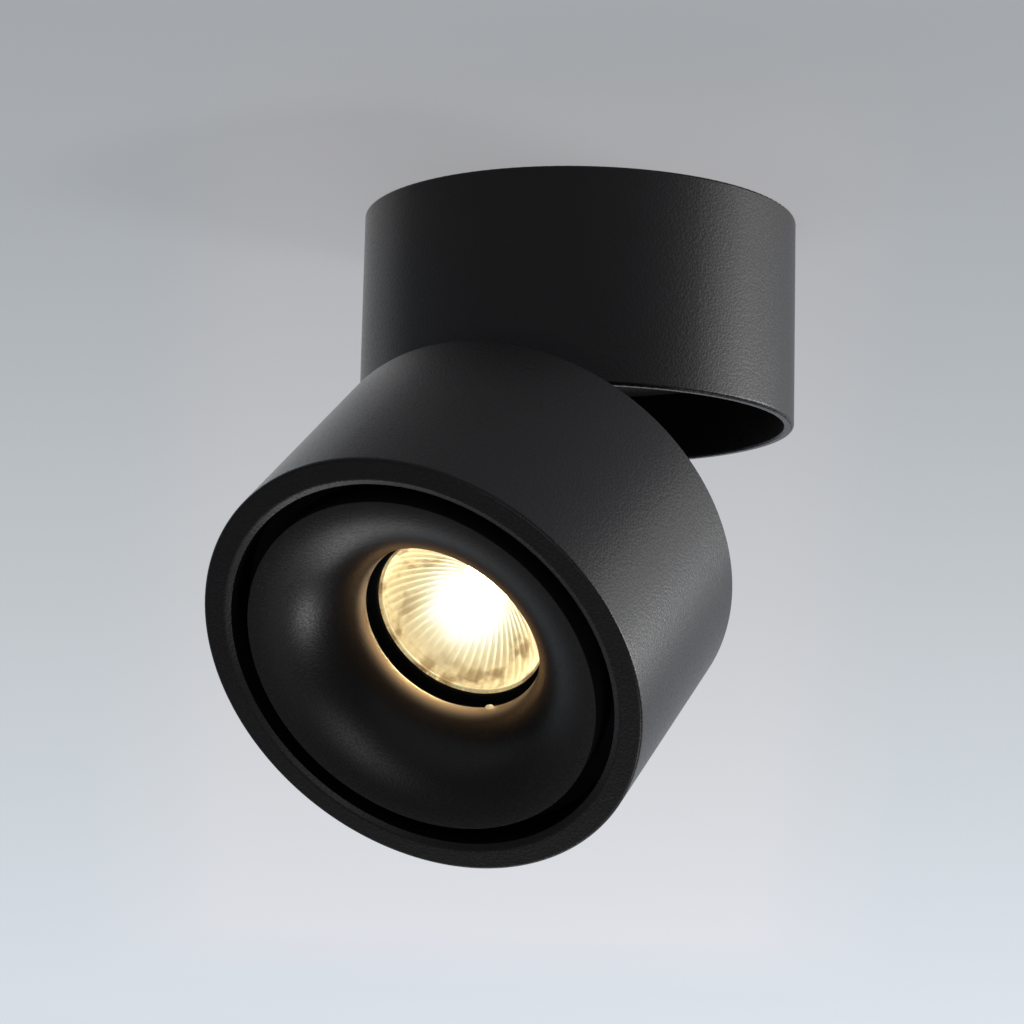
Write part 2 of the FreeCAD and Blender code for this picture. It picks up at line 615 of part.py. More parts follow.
def make_driver():
    case = new_body("DriverCase")
    pad(case, "XY_Plane", FLOOR_TOP, LID_UNDER - FLOOR_TOP,
        lambda drawing: draw_rectangle(drawing, -DRIVER_X, DRIVER_NEAR, DRIVER_X, DRIVER_FAR))
    wall = S.driver_wall
    pocket(case, "XY_Plane", FLOOR_TOP + wall, LID_UNDER - FLOOR_TOP,
           lambda drawing: draw_rectangle(drawing, -DRIVER_X + wall, DRIVER_NEAR + wall,
                                          DRIVER_X - wall, DRIVER_FAR - wall))
    ear_half = S.driver_ear / 2
    for side in (1, -1):
        near = side * (DRIVER_X - wall / 2) if side > 0 else -DRIVER_SCREW_X
        far = DRIVER_SCREW_X if side > 0 else -(DRIVER_X - wall / 2)
        bulge = [(near, DRIVER_SCREW_Y - ear_half), (far, DRIVER_SCREW_Y - ear_half),
                 (far, DRIVER_SCREW_Y + ear_half), (near, DRIVER_SCREW_Y + ear_half)]
        round_end = 2 if side > 0 else 0
        bulge[round_end] = (*bulge[round_end], ear_half)
        pad(case, "XY_Plane", FLOOR_TOP, S.driver_ear_thick,
            lambda drawing: draw_outline(drawing, bulge))
        pocket(case, "XY_Plane", FLOOR_TOP, S.driver_ear_thick,
               lambda drawing: draw_circle(drawing, side * DRIVER_SCREW_X, DRIVER_SCREW_Y,
                                           S.screw_dia))
    for x in (-S.board_post_side, S.board_post_side):
        pad(case, "XY_Plane", FLOOR_TOP + wall / 2, S.board_stand + wall / 2,
            lambda drawing: draw_circle(drawing, x, DRIVER_SCREW_Y, S.board_post_dia))
    node(case, "driver_case", in_canopy)

    lid = new_body("DriverLid")
    pad(lid, "XY_Plane", LID_UNDER, S.driver_lid_height,
        lambda drawing: draw_rectangle(drawing, -DRIVER_X, DRIVER_NEAR, DRIVER_X, DRIVER_FAR))
    pocket(lid, "XY_Plane", LID_UNDER, S.driver_lid_height - wall,
           lambda drawing: draw_rectangle(drawing, -DRIVER_X + wall, DRIVER_NEAR + wall,
                                          DRIVER_X - wall, DRIVER_FAR - wall))
    node(lid, "driver_lid", in_canopy)

    board = new_body("DriverBoard")
    edge = wall + S.board_gap
    pad(board, "XY_Plane", BOARD_UNDER, S.board_thick,
        lambda drawing: draw_rectangle(drawing, -DRIVER_X + edge, DRIVER_NEAR + edge,
                                       DRIVER_X - edge, DRIVER_FAR - edge))
    node(board, "driver_board", in_canopy)

    coil = new_body("DriverCoil")
    pad(coil, "XY_Plane", BOARD_TOP, S.coil_height,
        lambda drawing: draw_rectangle(drawing, -S.coil_length / 2,
                                       DRIVER_SCREW_Y - S.coil_width / 2,
                                       S.coil_length / 2, DRIVER_SCREW_Y + S.coil_width / 2))
    cans = [coil]
    for x, across, height in ((-S.can_side, S.capacitor_dia, S.capacitor_height),
                              (S.can_side, S.small_can_dia, S.small_can_height)):
        can = new_body("DriverCapacitor")
        pad(can, "XY_Plane", BOARD_TOP, height,
            lambda drawing: draw_circle(drawing, x, DRIVER_SCREW_Y, across))
        cans.append(can)
    group("driver_components", cans, in_canopy)

    screws = []
    for side in (1, -1):
        screw = cap_screw("DriverScrew", S.screw_dia, S.driver_ear_thick + S.floor_thick,
                          S.cap_head_dia, S.screw_head_height)
        put(screw, side * DRIVER_SCREW_X, DRIVER_SCREW_Y, FLOOR_TOP + S.driver_ear_thick)
        screws.append(screw)
    group("driver_screws", screws, in_canopy)


def make_terminals():
    """A three pole screw terminal: each pole has a brass sleeve and a clamp screw."""
    half_length = S.terminal_length / 2
    near = -S.terminal_side
    far = -S.terminal_side - S.terminal_width
    middle = -S.terminal_side - S.terminal_width / 2
    top = FLOOR_TOP + S.terminal_height
    centre = FLOOR_TOP + S.terminal_height / 2
    core = S.terminal_core / 2
    block = new_body("TerminalBlock")
    pad(block, "XY_Plane", FLOOR_TOP, S.terminal_height,
        lambda drawing: draw_rectangle(drawing, -half_length, far, half_length, near))
    poles = [step * S.terminal_length / 3 for step in (-1, 0, 1)]
    sleeves = []
    screws = []
    for x in poles:
        pocket(block, "XZ_Plane", -near, S.terminal_width,
               lambda drawing: draw_rectangle(drawing, x - core, centre - core,
                                              x + core, centre + core))
        pocket(block, "XY_Plane", centre, S.terminal_height / 2,
               lambda drawing: draw_circle(drawing, x, middle, S.terminal_well))
        sleeve = new_body("TerminalSleeve")
        pad(sleeve, "XZ_Plane", -near + S.sleeve_inset, S.terminal_width - 2 * S.sleeve_inset,
            lambda drawing: draw_rectangle(drawing, x - core, centre - core,
                                           x + core, centre + core))
        pocket(sleeve, "XZ_Plane", -near, S.terminal_width,
               lambda drawing: draw_circle(drawing, x, centre, S.terminal_hole))
        pocket(sleeve, "XY_Plane", centre, S.terminal_core,
               lambda drawing: draw_circle(drawing, x, middle, S.screw_dia))
        sleeves.append(sleeve)
        screw = cap_screw("TerminalScrew", S.screw_dia, core - S.well_gap,
                          S.terminal_well - S.well_gap, S.screw_head_height)
        put(screw, x, middle, centre + core)
        screws.append(screw)
    node(block, "terminal_block", in_canopy)
    group("terminal_sleeves", sleeves, in_canopy)
    group("terminal_screws", screws, in_canopy)

    tag = new_body("EarthTag")
    half_tail = S.earth_dia / 2

    def draw_tag(drawing):
        draw_rectangle(drawing, EARTH_X - half_tail, EARTH_Y,
                       EARTH_X + half_tail, EARTH_Y + S.tag_tail)

    pad(tag, "XY_Plane", FLOOR_TOP, S.tag_thick,
        lambda drawing: draw_circle(drawing, EARTH_X, EARTH_Y, S.tag_dia))
    pad(tag, "XY_Plane", FLOOR_TOP, S.tag_thick, draw_tag)
    pocket(tag, "XY_Plane", FLOOR_TOP, S.tag_thick,
           lambda drawing: draw_circle(drawing, EARTH_X, EARTH_Y, S.earth_dia))
    node(tag, "earth_tag", in_canopy)
    screw = cap_screw("EarthScrew", S.earth_dia, S.tag_thick + S.floor_thick,
                      S.earth_head_dia, S.screw_head_height)
    place = doc.addObject("Part::Compound", "EarthScrewPlaced")
    put(screw, EARTH_X, EARTH_Y, FLOOR_TOP + S.tag_thick)
    place.Links = [screw]
    node(place, "earth_screw", in_canopy)


# ---- swivel ------------------------------------------------------------------

WASHER_UNDER = FLOOR_TOP + S.bush_stand + S.side_clear
SPRING_UNDER = WASHER_UNDER + S.washer_thick
LOCKNUT_UNDER = SPRING_UNDER + S.spring_thick + S.spring_rise
NIPPLE_R = S.nipple_dia / 2


def make_swivel():
    bush = turned_body("SwivelBush", [
        (NIPPLE_R + S.run_clear, FLOOR_UNDER - S.bush_flange_thick),
        (S.bush_flange_dia / 2, FLOOR_UNDER - S.bush_flange_thick),
        (S.bush_flange_dia / 2, FLOOR_UNDER), (S.bush_sleeve_dia / 2, FLOOR_UNDER),
        (S.bush_sleeve_dia / 2, FLOOR_TOP + S.bush_stand),
        (NIPPLE_R + S.run_clear, FLOOR_TOP + S.bush_stand)])
    node(bush, "swivel_bush")

    bore_r = S.nipple_bore / 2
    top = LOCKNUT_UNDER + S.locknut_height + S.nipple_end
    nipple = turned_body("SwivelNipple", [
        (bore_r, PLATE_UNDER - S.nipple_flange_thick),
        (S.nipple_flange_dia / 2, PLATE_UNDER - S.nipple_flange_thick),
        (S.nipple_flange_dia / 2, PLATE_UNDER), (NIPPLE_R, PLATE_UNDER),
        (NIPPLE_R, top), (bore_r, top)])
    node(nipple, "swivel_nipple")

    washer = turned_body("SwivelWasher", [
        (NIPPLE_R, WASHER_UNDER), (S.washer_dia / 2, WASHER_UNDER),
        (S.washer_dia / 2, SPRING_UNDER), (NIPPLE_R, SPRING_UNDER)])
    node(washer, "swivel_washer")

    spring = disc_spring("SwivelSpring", S.nipple_dia, S.locknut_width, S.spring_thick,
                         S.spring_rise)
    node(put(spring, 0, 0, SPRING_UNDER), "swivel_spring_washer")

    locknut = hex_nut("SwivelLocknut", S.locknut_width, S.locknut_height, S.nipple_dia)
    node(put(locknut, 0, 0, LOCKNUT_UNDER), "swivel_locknut")

    plate = turned_body("SwivelPlate", [
        (NIPPLE_R, PLATE_UNDER), (BORE_R - S.plate_gap, PLATE_UNDER),
        (BORE_R - S.plate_gap, PLATE_TOP), (NIPPLE_R, PLATE_TOP)])
    for x, y in RIVETS:
        pocket(plate, "XY_Plane", PLATE_UNDER, S.plate_thick,
               lambda drawing: draw_circle(drawing, x, y, S.rivet_dia))
    pocket(plate, "XY_Plane", PLATE_UNDER, S.plate_thick,
           lambda drawing: draw_circle(drawing, 0, -S.stop_radius, S.stop_neck_dia))
    node(plate, "swivel_plate")

    pin_r = S.stop_dia / 2
    neck_r = S.stop_neck_dia / 2
    pin = turned_body("PanStopPin", [
        (0, PLATE_UNDER), (neck_r, PLATE_UNDER), (neck_r, PLATE_TOP), (pin_r, PLATE_TOP),
        (pin_r, PLATE_TOP + S.bush_flange_thick), (0, PLATE_TOP + S.bush_flange_thick)])
    node(put(pin, 0, -S.stop_radius, 0), "pan_stop_pin")


# ---- hinge -------------------------------------------------------------------

ARM_X = S.arm_half_width
EAR_FACE = ARM_X + S.side_clear + S.friction_washer
EAR_OUT = EAR_FACE + S.hinge_sheet
HINGE_FAR = HINGE_OUT + S.ear_radius
HINGE_BASE_END = HINGE_OUT - S.hinge_base_length
RIVETS = [(0, -(S.stop_radius + S.stop_neck_dia / 2 + S.rivet_gap + S.rivet_dia / 2)),
          (0, -(HINGE_OUT - S.rivet_back))]


def make_hinge_bracket():
    """A channel of bent steel: a base riveted under the swivel plate and two round ears."""
    near = -HINGE_OUT + S.ear_radius
    shoulder = near + S.ear_radius * 1.5
    low = HINGE_Z - S.ear_radius - S.hinge_sheet
    outer_bend = S.hinge_bend + S.hinge_sheet
    tongue = EAR_OUT - outer_bend
    bend_end = PLATE_UNDER - outer_bend
    bracket = new_body("HingeBracket")

    def draw_channel(drawing):
        draw_outline(drawing, [
            (-EAR_OUT, low), (-EAR_FACE, low), (-EAR_FACE, bend_end),
            (-tongue, HINGE_BASE_UNDER, -S.hinge_bend), (tongue, HINGE_BASE_UNDER),
            (EAR_FACE, bend_end, -S.hinge_bend), (EAR_FACE, low), (EAR_OUT, low),
            (EAR_OUT, bend_end), (tongue, PLATE_UNDER, outer_bend), (-tongue, PLATE_UNDER),
            (-EAR_OUT, bend_end, outer_bend)])

    def draw_off_ears(drawing):
        under = low - S.hinge_sheet
        draw_outline(drawing, [
            (-HINGE_FAR, under), (shoulder, under), (shoulder, bend_end), (near, HINGE_Z),
            (-HINGE_FAR, HINGE_Z, -S.ear_radius)])

    pad(bracket, "XZ_Plane", -shoulder, HINGE_FAR + shoulder, draw_channel)
    pad(bracket, "XY_Plane", HINGE_BASE_UNDER, S.hinge_sheet,
        lambda drawing: draw_rectangle(drawing, -tongue, -HINGE_FAR, tongue, -HINGE_BASE_END))
    for level in (EAR_FACE, -EAR_OUT):
        pocket(bracket, "YZ_Plane", level, S.hinge_sheet, draw_off_ears)
        pocket(bracket, "YZ_Plane", level, S.hinge_sheet,
               lambda drawing: draw_circle(drawing, -HINGE_OUT, HINGE_Z, S.hinge_pin_dia))
    for x, y in RIVETS:
        pocket(bracket, "XY_Plane", HINGE_BASE_UNDER, S.hinge_sheet,
               lambda drawing: draw_circle(drawing, x, y, S.rivet_dia))
    node(bracket, "hinge_bracket")

    rivets = []
    for x, y in RIVETS:
        shank_r = S.rivet_dia / 2
        head_r = S.rivet_head_dia / 2
        low = HINGE_BASE_UNDER - S.rivet_head_height
        rivet = turned_body("HingeRivet", [
            (0, low), (head_r * 0.6, low), (head_r, HINGE_BASE_UNDER),
            (shank_r, HINGE_BASE_UNDER), (shank_r, PLATE_TOP), (0, PLATE_TOP)])
        rivets.append(put(rivet, x, y, 0))
    group("hinge_rivets", rivets)


def on_hinge(thing, x, turn):
    """Lays a piece along the hinge's axis, its own Z along X or against it."""
    return put(thing, x, -HINGE_OUT, HINGE_Z, (0, 1, 0), turn)


def make_hinge_hardware():
    spring_out = EAR_OUT + S.hinge_spring_thick + S.hinge_spring_rise
    length = 2 * EAR_OUT + (spring_out - EAR_OUT) + S.hinge_nut_height + S.pin_end
    bolt = cap_screw("HingeBolt", S.hinge_pin_dia, length, S.pin_head_dia, S.pin_head_height)
    node(on_hinge(bolt, -EAR_OUT, -90), "hinge_bolt")
    spring = disc_spring("HingeSpring", S.hinge_pin_dia, S.pin_head_dia, S.hinge_spring_thick,
                         S.hinge_spring_rise)
    node(on_hinge(spring, EAR_OUT, 90), "hinge_spring_washer")
    nut = hex_nut("HingeNut", S.hinge_nut_width, S.hinge_nut_height, S.hinge_pin_dia)
    node(on_hinge(nut, spring_out, 90), "hinge_nut")
    washers = []
    for side in (1, -1):
        washer = turned_body("FrictionWasher", [
            (S.hinge_pin_dia / 2, 0), (S.pin_head_dia / 2, 0),
            (S.pin_head_dia / 2, S.friction_washer),
            (S.hinge_pin_dia / 2, S.friction_washer)])
        washers.append(on_hinge(washer, side * (EAR_FACE - S.friction_washer), 90 * side))
    group("friction_washers", washers)


# ---- hinge arm ---------------------------------------------------------------

ARM_NEAR = -HINGE_OUT + S.arm_neck
ARM_FAR = ARM_NEAR + S.arm_base_length
ARM_BASE_TOP = COVER_TOP + S.arm_base_thick
ARM_SCREWS = [(side * S.arm_screw_x, y) for side in (1, -1)
              for y in (ARM_NEAR + S.arm_screw_inset, ARM_FAR - S.arm_screw_inset)]


def make_hinge_arm():
    """A cast bracket: its base lies on the rear cover, and two webs reach back over
    the canopy's rim to the hinge."""
    arm = new_body("HingeArm")
    half = S.arm_base_half
    pad(arm, "XY_Plane", COVER_TOP, S.arm_base_thick,
        lambda drawing: draw_rectangle(drawing, -half, ARM_NEAR, half, ARM_FAR))
    pivot_low = PIVOT_UP - S.ear_radius
    pivot_high = PIVOT_UP + S.ear_radius
    corner = S.arm_corner
    near = -HINGE_OUT

    def draw_web(drawing):
        draw_outline(drawing, [
            (ARM_NEAR, COVER_TOP), (ARM_FAR, COVER_TOP), (ARM_FAR, ARM_BASE_TOP),
            (near + S.arm_top_run, pivot_high), (near, pivot_high),
            (near, pivot_low, S.ear_radius), (ARM_NEAR - corner, pivot_low),
            (ARM_NEAR, pivot_low - corner, -corner)])

    hole_dia = S.hinge_pin_dia + 2 * S.run_clear
    for level in (ARM_X - S.arm_sheet, -ARM_X):
        pad(arm, "YZ_Plane", level, S.arm_sheet, draw_web)
        pocket(arm, "YZ_Plane", level, S.arm_sheet,
               lambda drawing: draw_circle(drawing, near, PIVOT_UP, hole_dia))
    for x, y in ARM_SCREWS:
        pocket(arm, "XY_Plane", COVER_TOP, S.arm_base_thick,
               lambda drawing: draw_circle(drawing, x, y, S.screw_dia + 2 * S.fit_clear))
    node(arm, "hinge_arm", in_head)

    spacer_half = ARM_X - S.arm_sheet
    spacer = turned_body("HingeSpacer", [
        (hole_dia / 2, -spacer_half), (S.arm_spacer_dia / 2, -spacer_half),
        (S.arm_spacer_dia / 2, spacer_half), (hole_dia / 2, spacer_half)])
    node(on_hinge(spacer, 0, 90), "hinge_spacer")

    screws = []
    for x, y in ARM_SCREWS:
        length = S.arm_base_thick + (COVER_TOP - SINK_BACK)
        screw = cap_screw("ArmScrew", S.screw_dia, length, S.cap_head_dia, S.screw_head_height)
        screws.append(put(screw, x, y, ARM_BASE_TOP))
    group("arm_screws", screws, in_head)


# ---- head casing -------------------------------------------------------------

BOSS_ANGLES = (90, 210, 330)


def make_head_casing():
    round_r = S.head_round
    casing = turned_body("HeadHousing", [
        (BORE_R, COVER_UNDER), (BORE_R, -S.rear_chamfer), (BORE_R + S.rear_chamfer, 0),
        (BODY_R - round_r, 0), (BODY_R, -round_r, -round_r), (BODY_R, FRONT + round_r),
        (BODY_R - round_r, FRONT, -round_r), (LAND_R, FRONT), (THROAT_R, FRONT + S.front_chamfer),
        (THROAT_R, SEAT_FRONT), (CASING_BORE_R, SEAT_FRONT), (CASING_BORE_R, COVER_UNDER)])
    for angle in BOSS_ANGLES:
        x, y = around(BOSS_R, angle)
        pad(casing, "XY_Plane", COVER_UNDER - S.boss_length, S.boss_length,
            lambda drawing: draw_circle(drawing, x, y, S.boss_dia))
        pocket(casing, "XY_Plane", COVER_UNDER - S.cover_screw_length, S.cover_screw_length,
               lambda drawing: draw_circle(drawing, x, y, S.screw_dia))
    node(casing, "head_housing", in_head)


def make_rear_cover():
    cover = turned_body("RearCover", [
        (0, COVER_UNDER), (COVER_R, COVER_UNDER), (COVER_R, COVER_TOP), (0, COVER_TOP)])
    for angle in BOSS_ANGLES:
        x, y = around(BOSS_R, angle)
        sink_hole(cover, x, y, COVER_TOP, S.cover_thick)
    for x, y in ARM_SCREWS:
        pocket(cover, "XY_Plane", COVER_UNDER, S.cover_thick,
               lambda drawing: draw_circle(drawing, x, y, S.screw_dia + 2 * S.fit_clear))
    pocket(cover, "XY_Plane", COVER_UNDER, S.cover_thick,
           lambda drawing: draw_circle(drawing, 0, S.grommet_y, S.grommet_hole))
    node(cover, "rear_cover", in_head)

    screws = []
    for angle in BOSS_ANGLES:
        x, y = around(BOSS_R, angle)
        screw = flat_screw("CoverScrew", S.cover_thick + S.cover_screw_length - S.hole_bottom)
        screws.append(put(screw, x, y, COVER_TOP))
    group("rear_cover_screws", screws, in_head)

    bore_r = S.grommet_bore / 2
    neck_r = S.grommet_hole / 2
    lip_r = S.grommet_flange / 2
    grommet = turned_body("CableGrommet", [
        (bore_r, COVER_UNDER), (neck_r, COVER_UNDER), (neck_r, COVER_TOP), (lip_r, COVER_TOP),
        (lip_r, COVER_TOP + S.grommet_lip / 2), (neck_r, COVER_TOP + S.grommet_lip),
        (bore_r, COVER_TOP + S.grommet_lip)])
    put(grommet, 0, S.grommet_y, 0)
    place = doc.addObject("Part::Compound", "CableGrommetPlaced")
    place.Links = [grommet]
    node(place, "cable_grommet", in_head)


# ---- light engine ------------------------------------------------------------

def make_heatsink():
    """A round plate with straight fins, and a solid pad under the hinge arm."""
    sink = turned_body("Heatsink", [
        (0, SINK_FACE), (SINK_R, SINK_FACE), (SINK_R, SINK_BACK), (0, SINK_BACK)])
    pad(sink, "XY_Plane", SINK_BACK, COVER_UNDER - SINK_BACK,
        lambda drawing: draw_rectangle(drawing, -S.arm_base_half, ARM_NEAR,
                                       S.arm_base_half, ARM_FAR))
    for step in range(DRIVING_SIZES["fin_count"]):
        y = S.fin_start + step * S.fin_pitch
        reach = root(square(SINK_R) - square(y + S.fin_thick))
        pad(sink, "XY_Plane", SINK_BACK, COVER_UNDER - SINK_BACK,
            lambda drawing: draw_rectangle(drawing, -reach, y, reach, y + S.fin_thick))
    for x, y in ARM_SCREWS:
        pocket(sink, "XY_Plane", SINK_BACK, COVER_UNDER - SINK_BACK,
               lambda drawing: draw_circle(drawing, x, y, S.screw_dia))
    for angle in POST_ANGLES:
        x, y = around(POST_R, angle)
        pocket(sink, "XY_Plane", SINK_FACE, S.sink_base,
               lambda drawing: draw_circle(drawing, x, y, S.screw_dia))
        pocket(sink, "XY_Plane", SINK_BACK, COVER_UNDER - SINK_BACK,
               lambda drawing: draw_circle(drawing, x, y, S.cap_head_dia + S.head_room))
    node(sink, "heatsink", in_head)


def make_light_engine():
    half = S.chip_board / 2
    board = new_body("LedBoard")
    pad(board, "XY_Plane", CHIP_FACE, S.chip_board_thick,
        lambda drawing: draw_rectangle(drawing, -half, -half, half, half))
    node(board, "led_board", in_head)
    emitter = turned_body("LedEmitter", [
        (0, EMITTER_TOP), (S.emitter_dia / 2, EMITTER_TOP), (S.emitter_dia / 2, CHIP_FACE),
        (0, CHIP_FACE)])
    node(emitter, "led_emitter", in_head)

    holder_front = SINK_FACE - S.holder_thick
    hole_r = EXIT_R + S.reflector_wall + S.holder_gap
    holder_r = S.holder_dia / 2
    screw_r = holder_r - S.holder_screw_inset
    holder = turned_body("LedHolder", [
        (hole_r, SINK_FACE), (hole_r, EMITTER_TOP), (hole_r + S.holder_flare, holder_front),
        (holder_r, holder_front), (holder_r, SINK_FACE)])
    room = half + S.fit_clear
    pocket(holder, "XY_Plane", CHIP_FACE, S.chip_board_thick,
           lambda drawing: draw_rectangle(drawing, -room, -room, room, room))
    for side in (1, -1):
        pocket(holder, "XY_Plane", holder_front, S.holder_thick,
               lambda drawing: draw_circle(drawing, side * screw_r, 0, S.screw_dia))
    node(holder, "led_holder", in_head)
    screws = []
    for side in (1, -1):
        screw = cap_screw("HolderScrew", S.screw_dia, S.holder_thick, S.cap_head_dia,
                          S.screw_head_height)
        screws.append(put(screw, side * screw_r, 0, holder_front, (1, 0, 0), 180))
    group("led_holder_screws", screws, in_head)


def make_reflector():
    """A spun cup whose inside is fluted. The flutes fade out towards the emitter."""
    wall = S.reflector_wall
    gap = EMITTER_TOP - S.face_clear
    reflector = turned_body("Reflector", [
        (RIM_R, RIM_PLANE), (EXIT_R, gap, S.reflector_curve), (EXIT_R + wall, gap),
        (RIM_R + wall * 0.8, FLANGE_SEAT, -(S.reflector_curve + wall)),
        (FLANGE_R, FLANGE_SEAT), (FLANGE_R, RIM_PLANE)])
    drawing = sketch_on(reflector, "XZ_Plane")
    draw_outline(drawing, [
        (EXIT_R + wall / 2, gap, S.reflector_curve), (EXIT_R - S.flute_depth / 5, gap),
        (RIM_R - S.flute_depth, RIM_PLANE, -S.reflector_curve), (RIM_R + wall / 2, RIM_PLANE)])
    rib = reflector.newObject("PartDesign::Revolution", "ReflectorRib")
    rib.Profile = drawing
    rib.ReferenceAxis = (drawing, ["V_Axis"])
    rib.Angle = 180 / DRIVING_SIZES["flute_count"]
    repeat_round(reflector, rib, DRIVING_SIZES["flute_count"])
    node(reflector, "reflector", in_head)


def make_lens_tube():
    narrow_r = TUBE_BORE_R - S.tube_step
    base_front = SINK_FACE - S.tube_base_thick
    tube = turned_body("LensTube", [
        (narrow_r, SINK_FACE), (narrow_r, FLANGE_SEAT), (TUBE_BORE_R, FLANGE_SEAT),
        (TUBE_BORE_R, TUBE_FRONT), (TUBE_R, TUBE_FRONT), (TUBE_R, base_front),
        (TUBE_BASE_R, base_front), (TUBE_BASE_R, SINK_FACE)])
    for angle in POST_ANGLES:
        x, y = around(POST_R, angle)
        pocket(tube, "XY_Plane", base_front, S.tube_base_thick,
               lambda drawing: draw_circle(drawing, x, y, S.post_dia + 2 * S.notch_gap))
    screws = []
    for angle in TUBE_SCREW_ANGLES:
        x, y = around(TUBE_SCREW_R, angle)
        pocket(tube, "XY_Plane", base_front, S.tube_base_thick,
               lambda drawing: draw_circle(drawing, x, y, S.screw_dia))
        screw = cap_screw("TubeScrew", S.screw_dia, S.tube_base_thick, S.cap_head_dia,
                          S.screw_head_height)
        screws.append(put(screw, x, y, base_front, (1, 0, 0), 180))
    node(tube, "lens_tube", in_head)
    group("lens_tube_screws", screws, in_head)

    glass = turned_body("FrontGlass", [
        (0, GLASS_FRONT), (FLANGE_R, GLASS_FRONT), (FLANGE_R, RIM_PLANE), (0, RIM_PLANE)])
    node(glass, "front_glass", in_head)
    retainer = turned_body("GlassRetainer", [
        (TUBE_BORE_R - S.retainer_width, RETAINER_FRONT), (TUBE_BORE_R, RETAINER_FRONT),
        (TUBE_BORE_R, GLASS_FRONT), (TUBE_BORE_R - S.retainer_width, GLASS_FRONT)])
    half_gap = S.retainer_gap / 2
    pocket(retainer, "XY_Plane", RETAINER_FRONT, S.retainer_thick,
           lambda drawing: draw_rectangle(drawing, -half_gap, 0, half_gap, TUBE_R))
    node(retainer, "glass_retainer", in_head)


# ---- baffle ------------------------------------------------------------------

POST_ANGLES = (30, 150, 270)
TUBE_SCREW_ANGLES = (90, 210, 330)


def make_baffle():
    """A trumpet shaped anti-glare ring. Its collar screws on the lens tube."""
    collar_end = TUBE_FRONT + S.collar_length
    skirt_r = BAFFLE_R - S.baffle_edge
    baffle = turned_body("Baffle", [
        (MOUTH_R, BAFFLE_LIP, -TRUMPET_CURVE), (MOUTH_R, TUBE_FRONT), (COLLAR_R, TUBE_FRONT),
        (COLLAR_R, collar_end), (COLLAR_OUT, collar_end),
        (COLLAR_OUT, trumpet_height(COLLAR_OUT, BACK_CURVE)),
        (skirt_r, trumpet_height(skirt_r, BACK_CURVE), BACK_CURVE),
        (skirt_r, SEAT_FRONT), (BAFFLE_R, SEAT_FRONT), (BAFFLE_R, BAFFLE_FACE)])
    node(baffle, "baffle", in_head)


def make_baffle_seat():
    """A ring behind the casing's front rim that carries the baffle on three posts."""
    seat = turned_body("BaffleSeat", [
        (SEAT_BORE_R, SEAT_FRONT), (CASING_BORE_R - S.fit_clear, SEAT_FRONT),
        (CASING_BORE_R - S.fit_clear, SEAT_BACK), (SEAT_BORE_R, SEAT_BACK)])
    screws = []
    for angle in POST_ANGLES:
        x, y = around(POST_R, angle)
        pad(seat, "XY_Plane", SEAT_BACK, SINK_FACE - SEAT_BACK,
            lambda drawing: draw_circle(drawing, x, y, S.post_dia))
        pocket(seat, "XY_Plane", SINK_FACE - S.post_screw_length, S.post_screw_length,
               lambda drawing: draw_circle(drawing, x, y, S.screw_dia))
        screw = cap_screw("PostScrew", S.screw_dia,
                          S.post_screw_length - S.hole_bottom + S.sink_base,
                          S.cap_head_dia, S.screw_head_height)
        screws.append(put(screw, x, y, SINK_BACK))
    node(seat, "baffle_seat", in_head)
    group("post_screws", screws, in_head)


make_canopy_shell()
make_canopy_floor()
make_ceiling_strip()
make_side_screws()
make_driver()
make_terminals()
make_swivel()
make_hinge_bracket()
make_hinge_hardware()
make_hinge_arm()
make_head_casing()
make_rear_cover()
make_heatsink()
make_light_engine()
make_reflector()
make_lens_tube()
make_baffle()
make_baffle_seat()

doc.recompute()
for thing in doc.Objects:
    if "Invalid" in thing.State or "Error" in thing.State:
        raise RuntimeError(f"{thing.Label} failed: {thing.State}")
os.makedirs("parts", exist_ok=True)
for thing in NODES:
    if thing.Shape.isNull() or not thing.Shape.isValid():
        raise RuntimeError(f"{thing.Label} has no valid shape")
for thing in NODES:
    thing.Shape.exportStep(os.path.join("parts", thing.Label + ".step"))
    print(thing.Label, len(thing.Shape.Solids), round(thing.Shape.Volume, 1))
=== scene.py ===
# Surface mounted ceiling spotlight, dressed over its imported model.
#
# Metres, Z up, with the ceiling at z = 0. Head pieces are drawn with the lamp
# closed: their own z = 0 is the head's rear plane and the light leaves towards
# -Z. HEAD then hangs them on the hinge at the tilt that the model rests at.
import bmesh
import bpy
import json
import math
from mathutils import Matrix, Vector

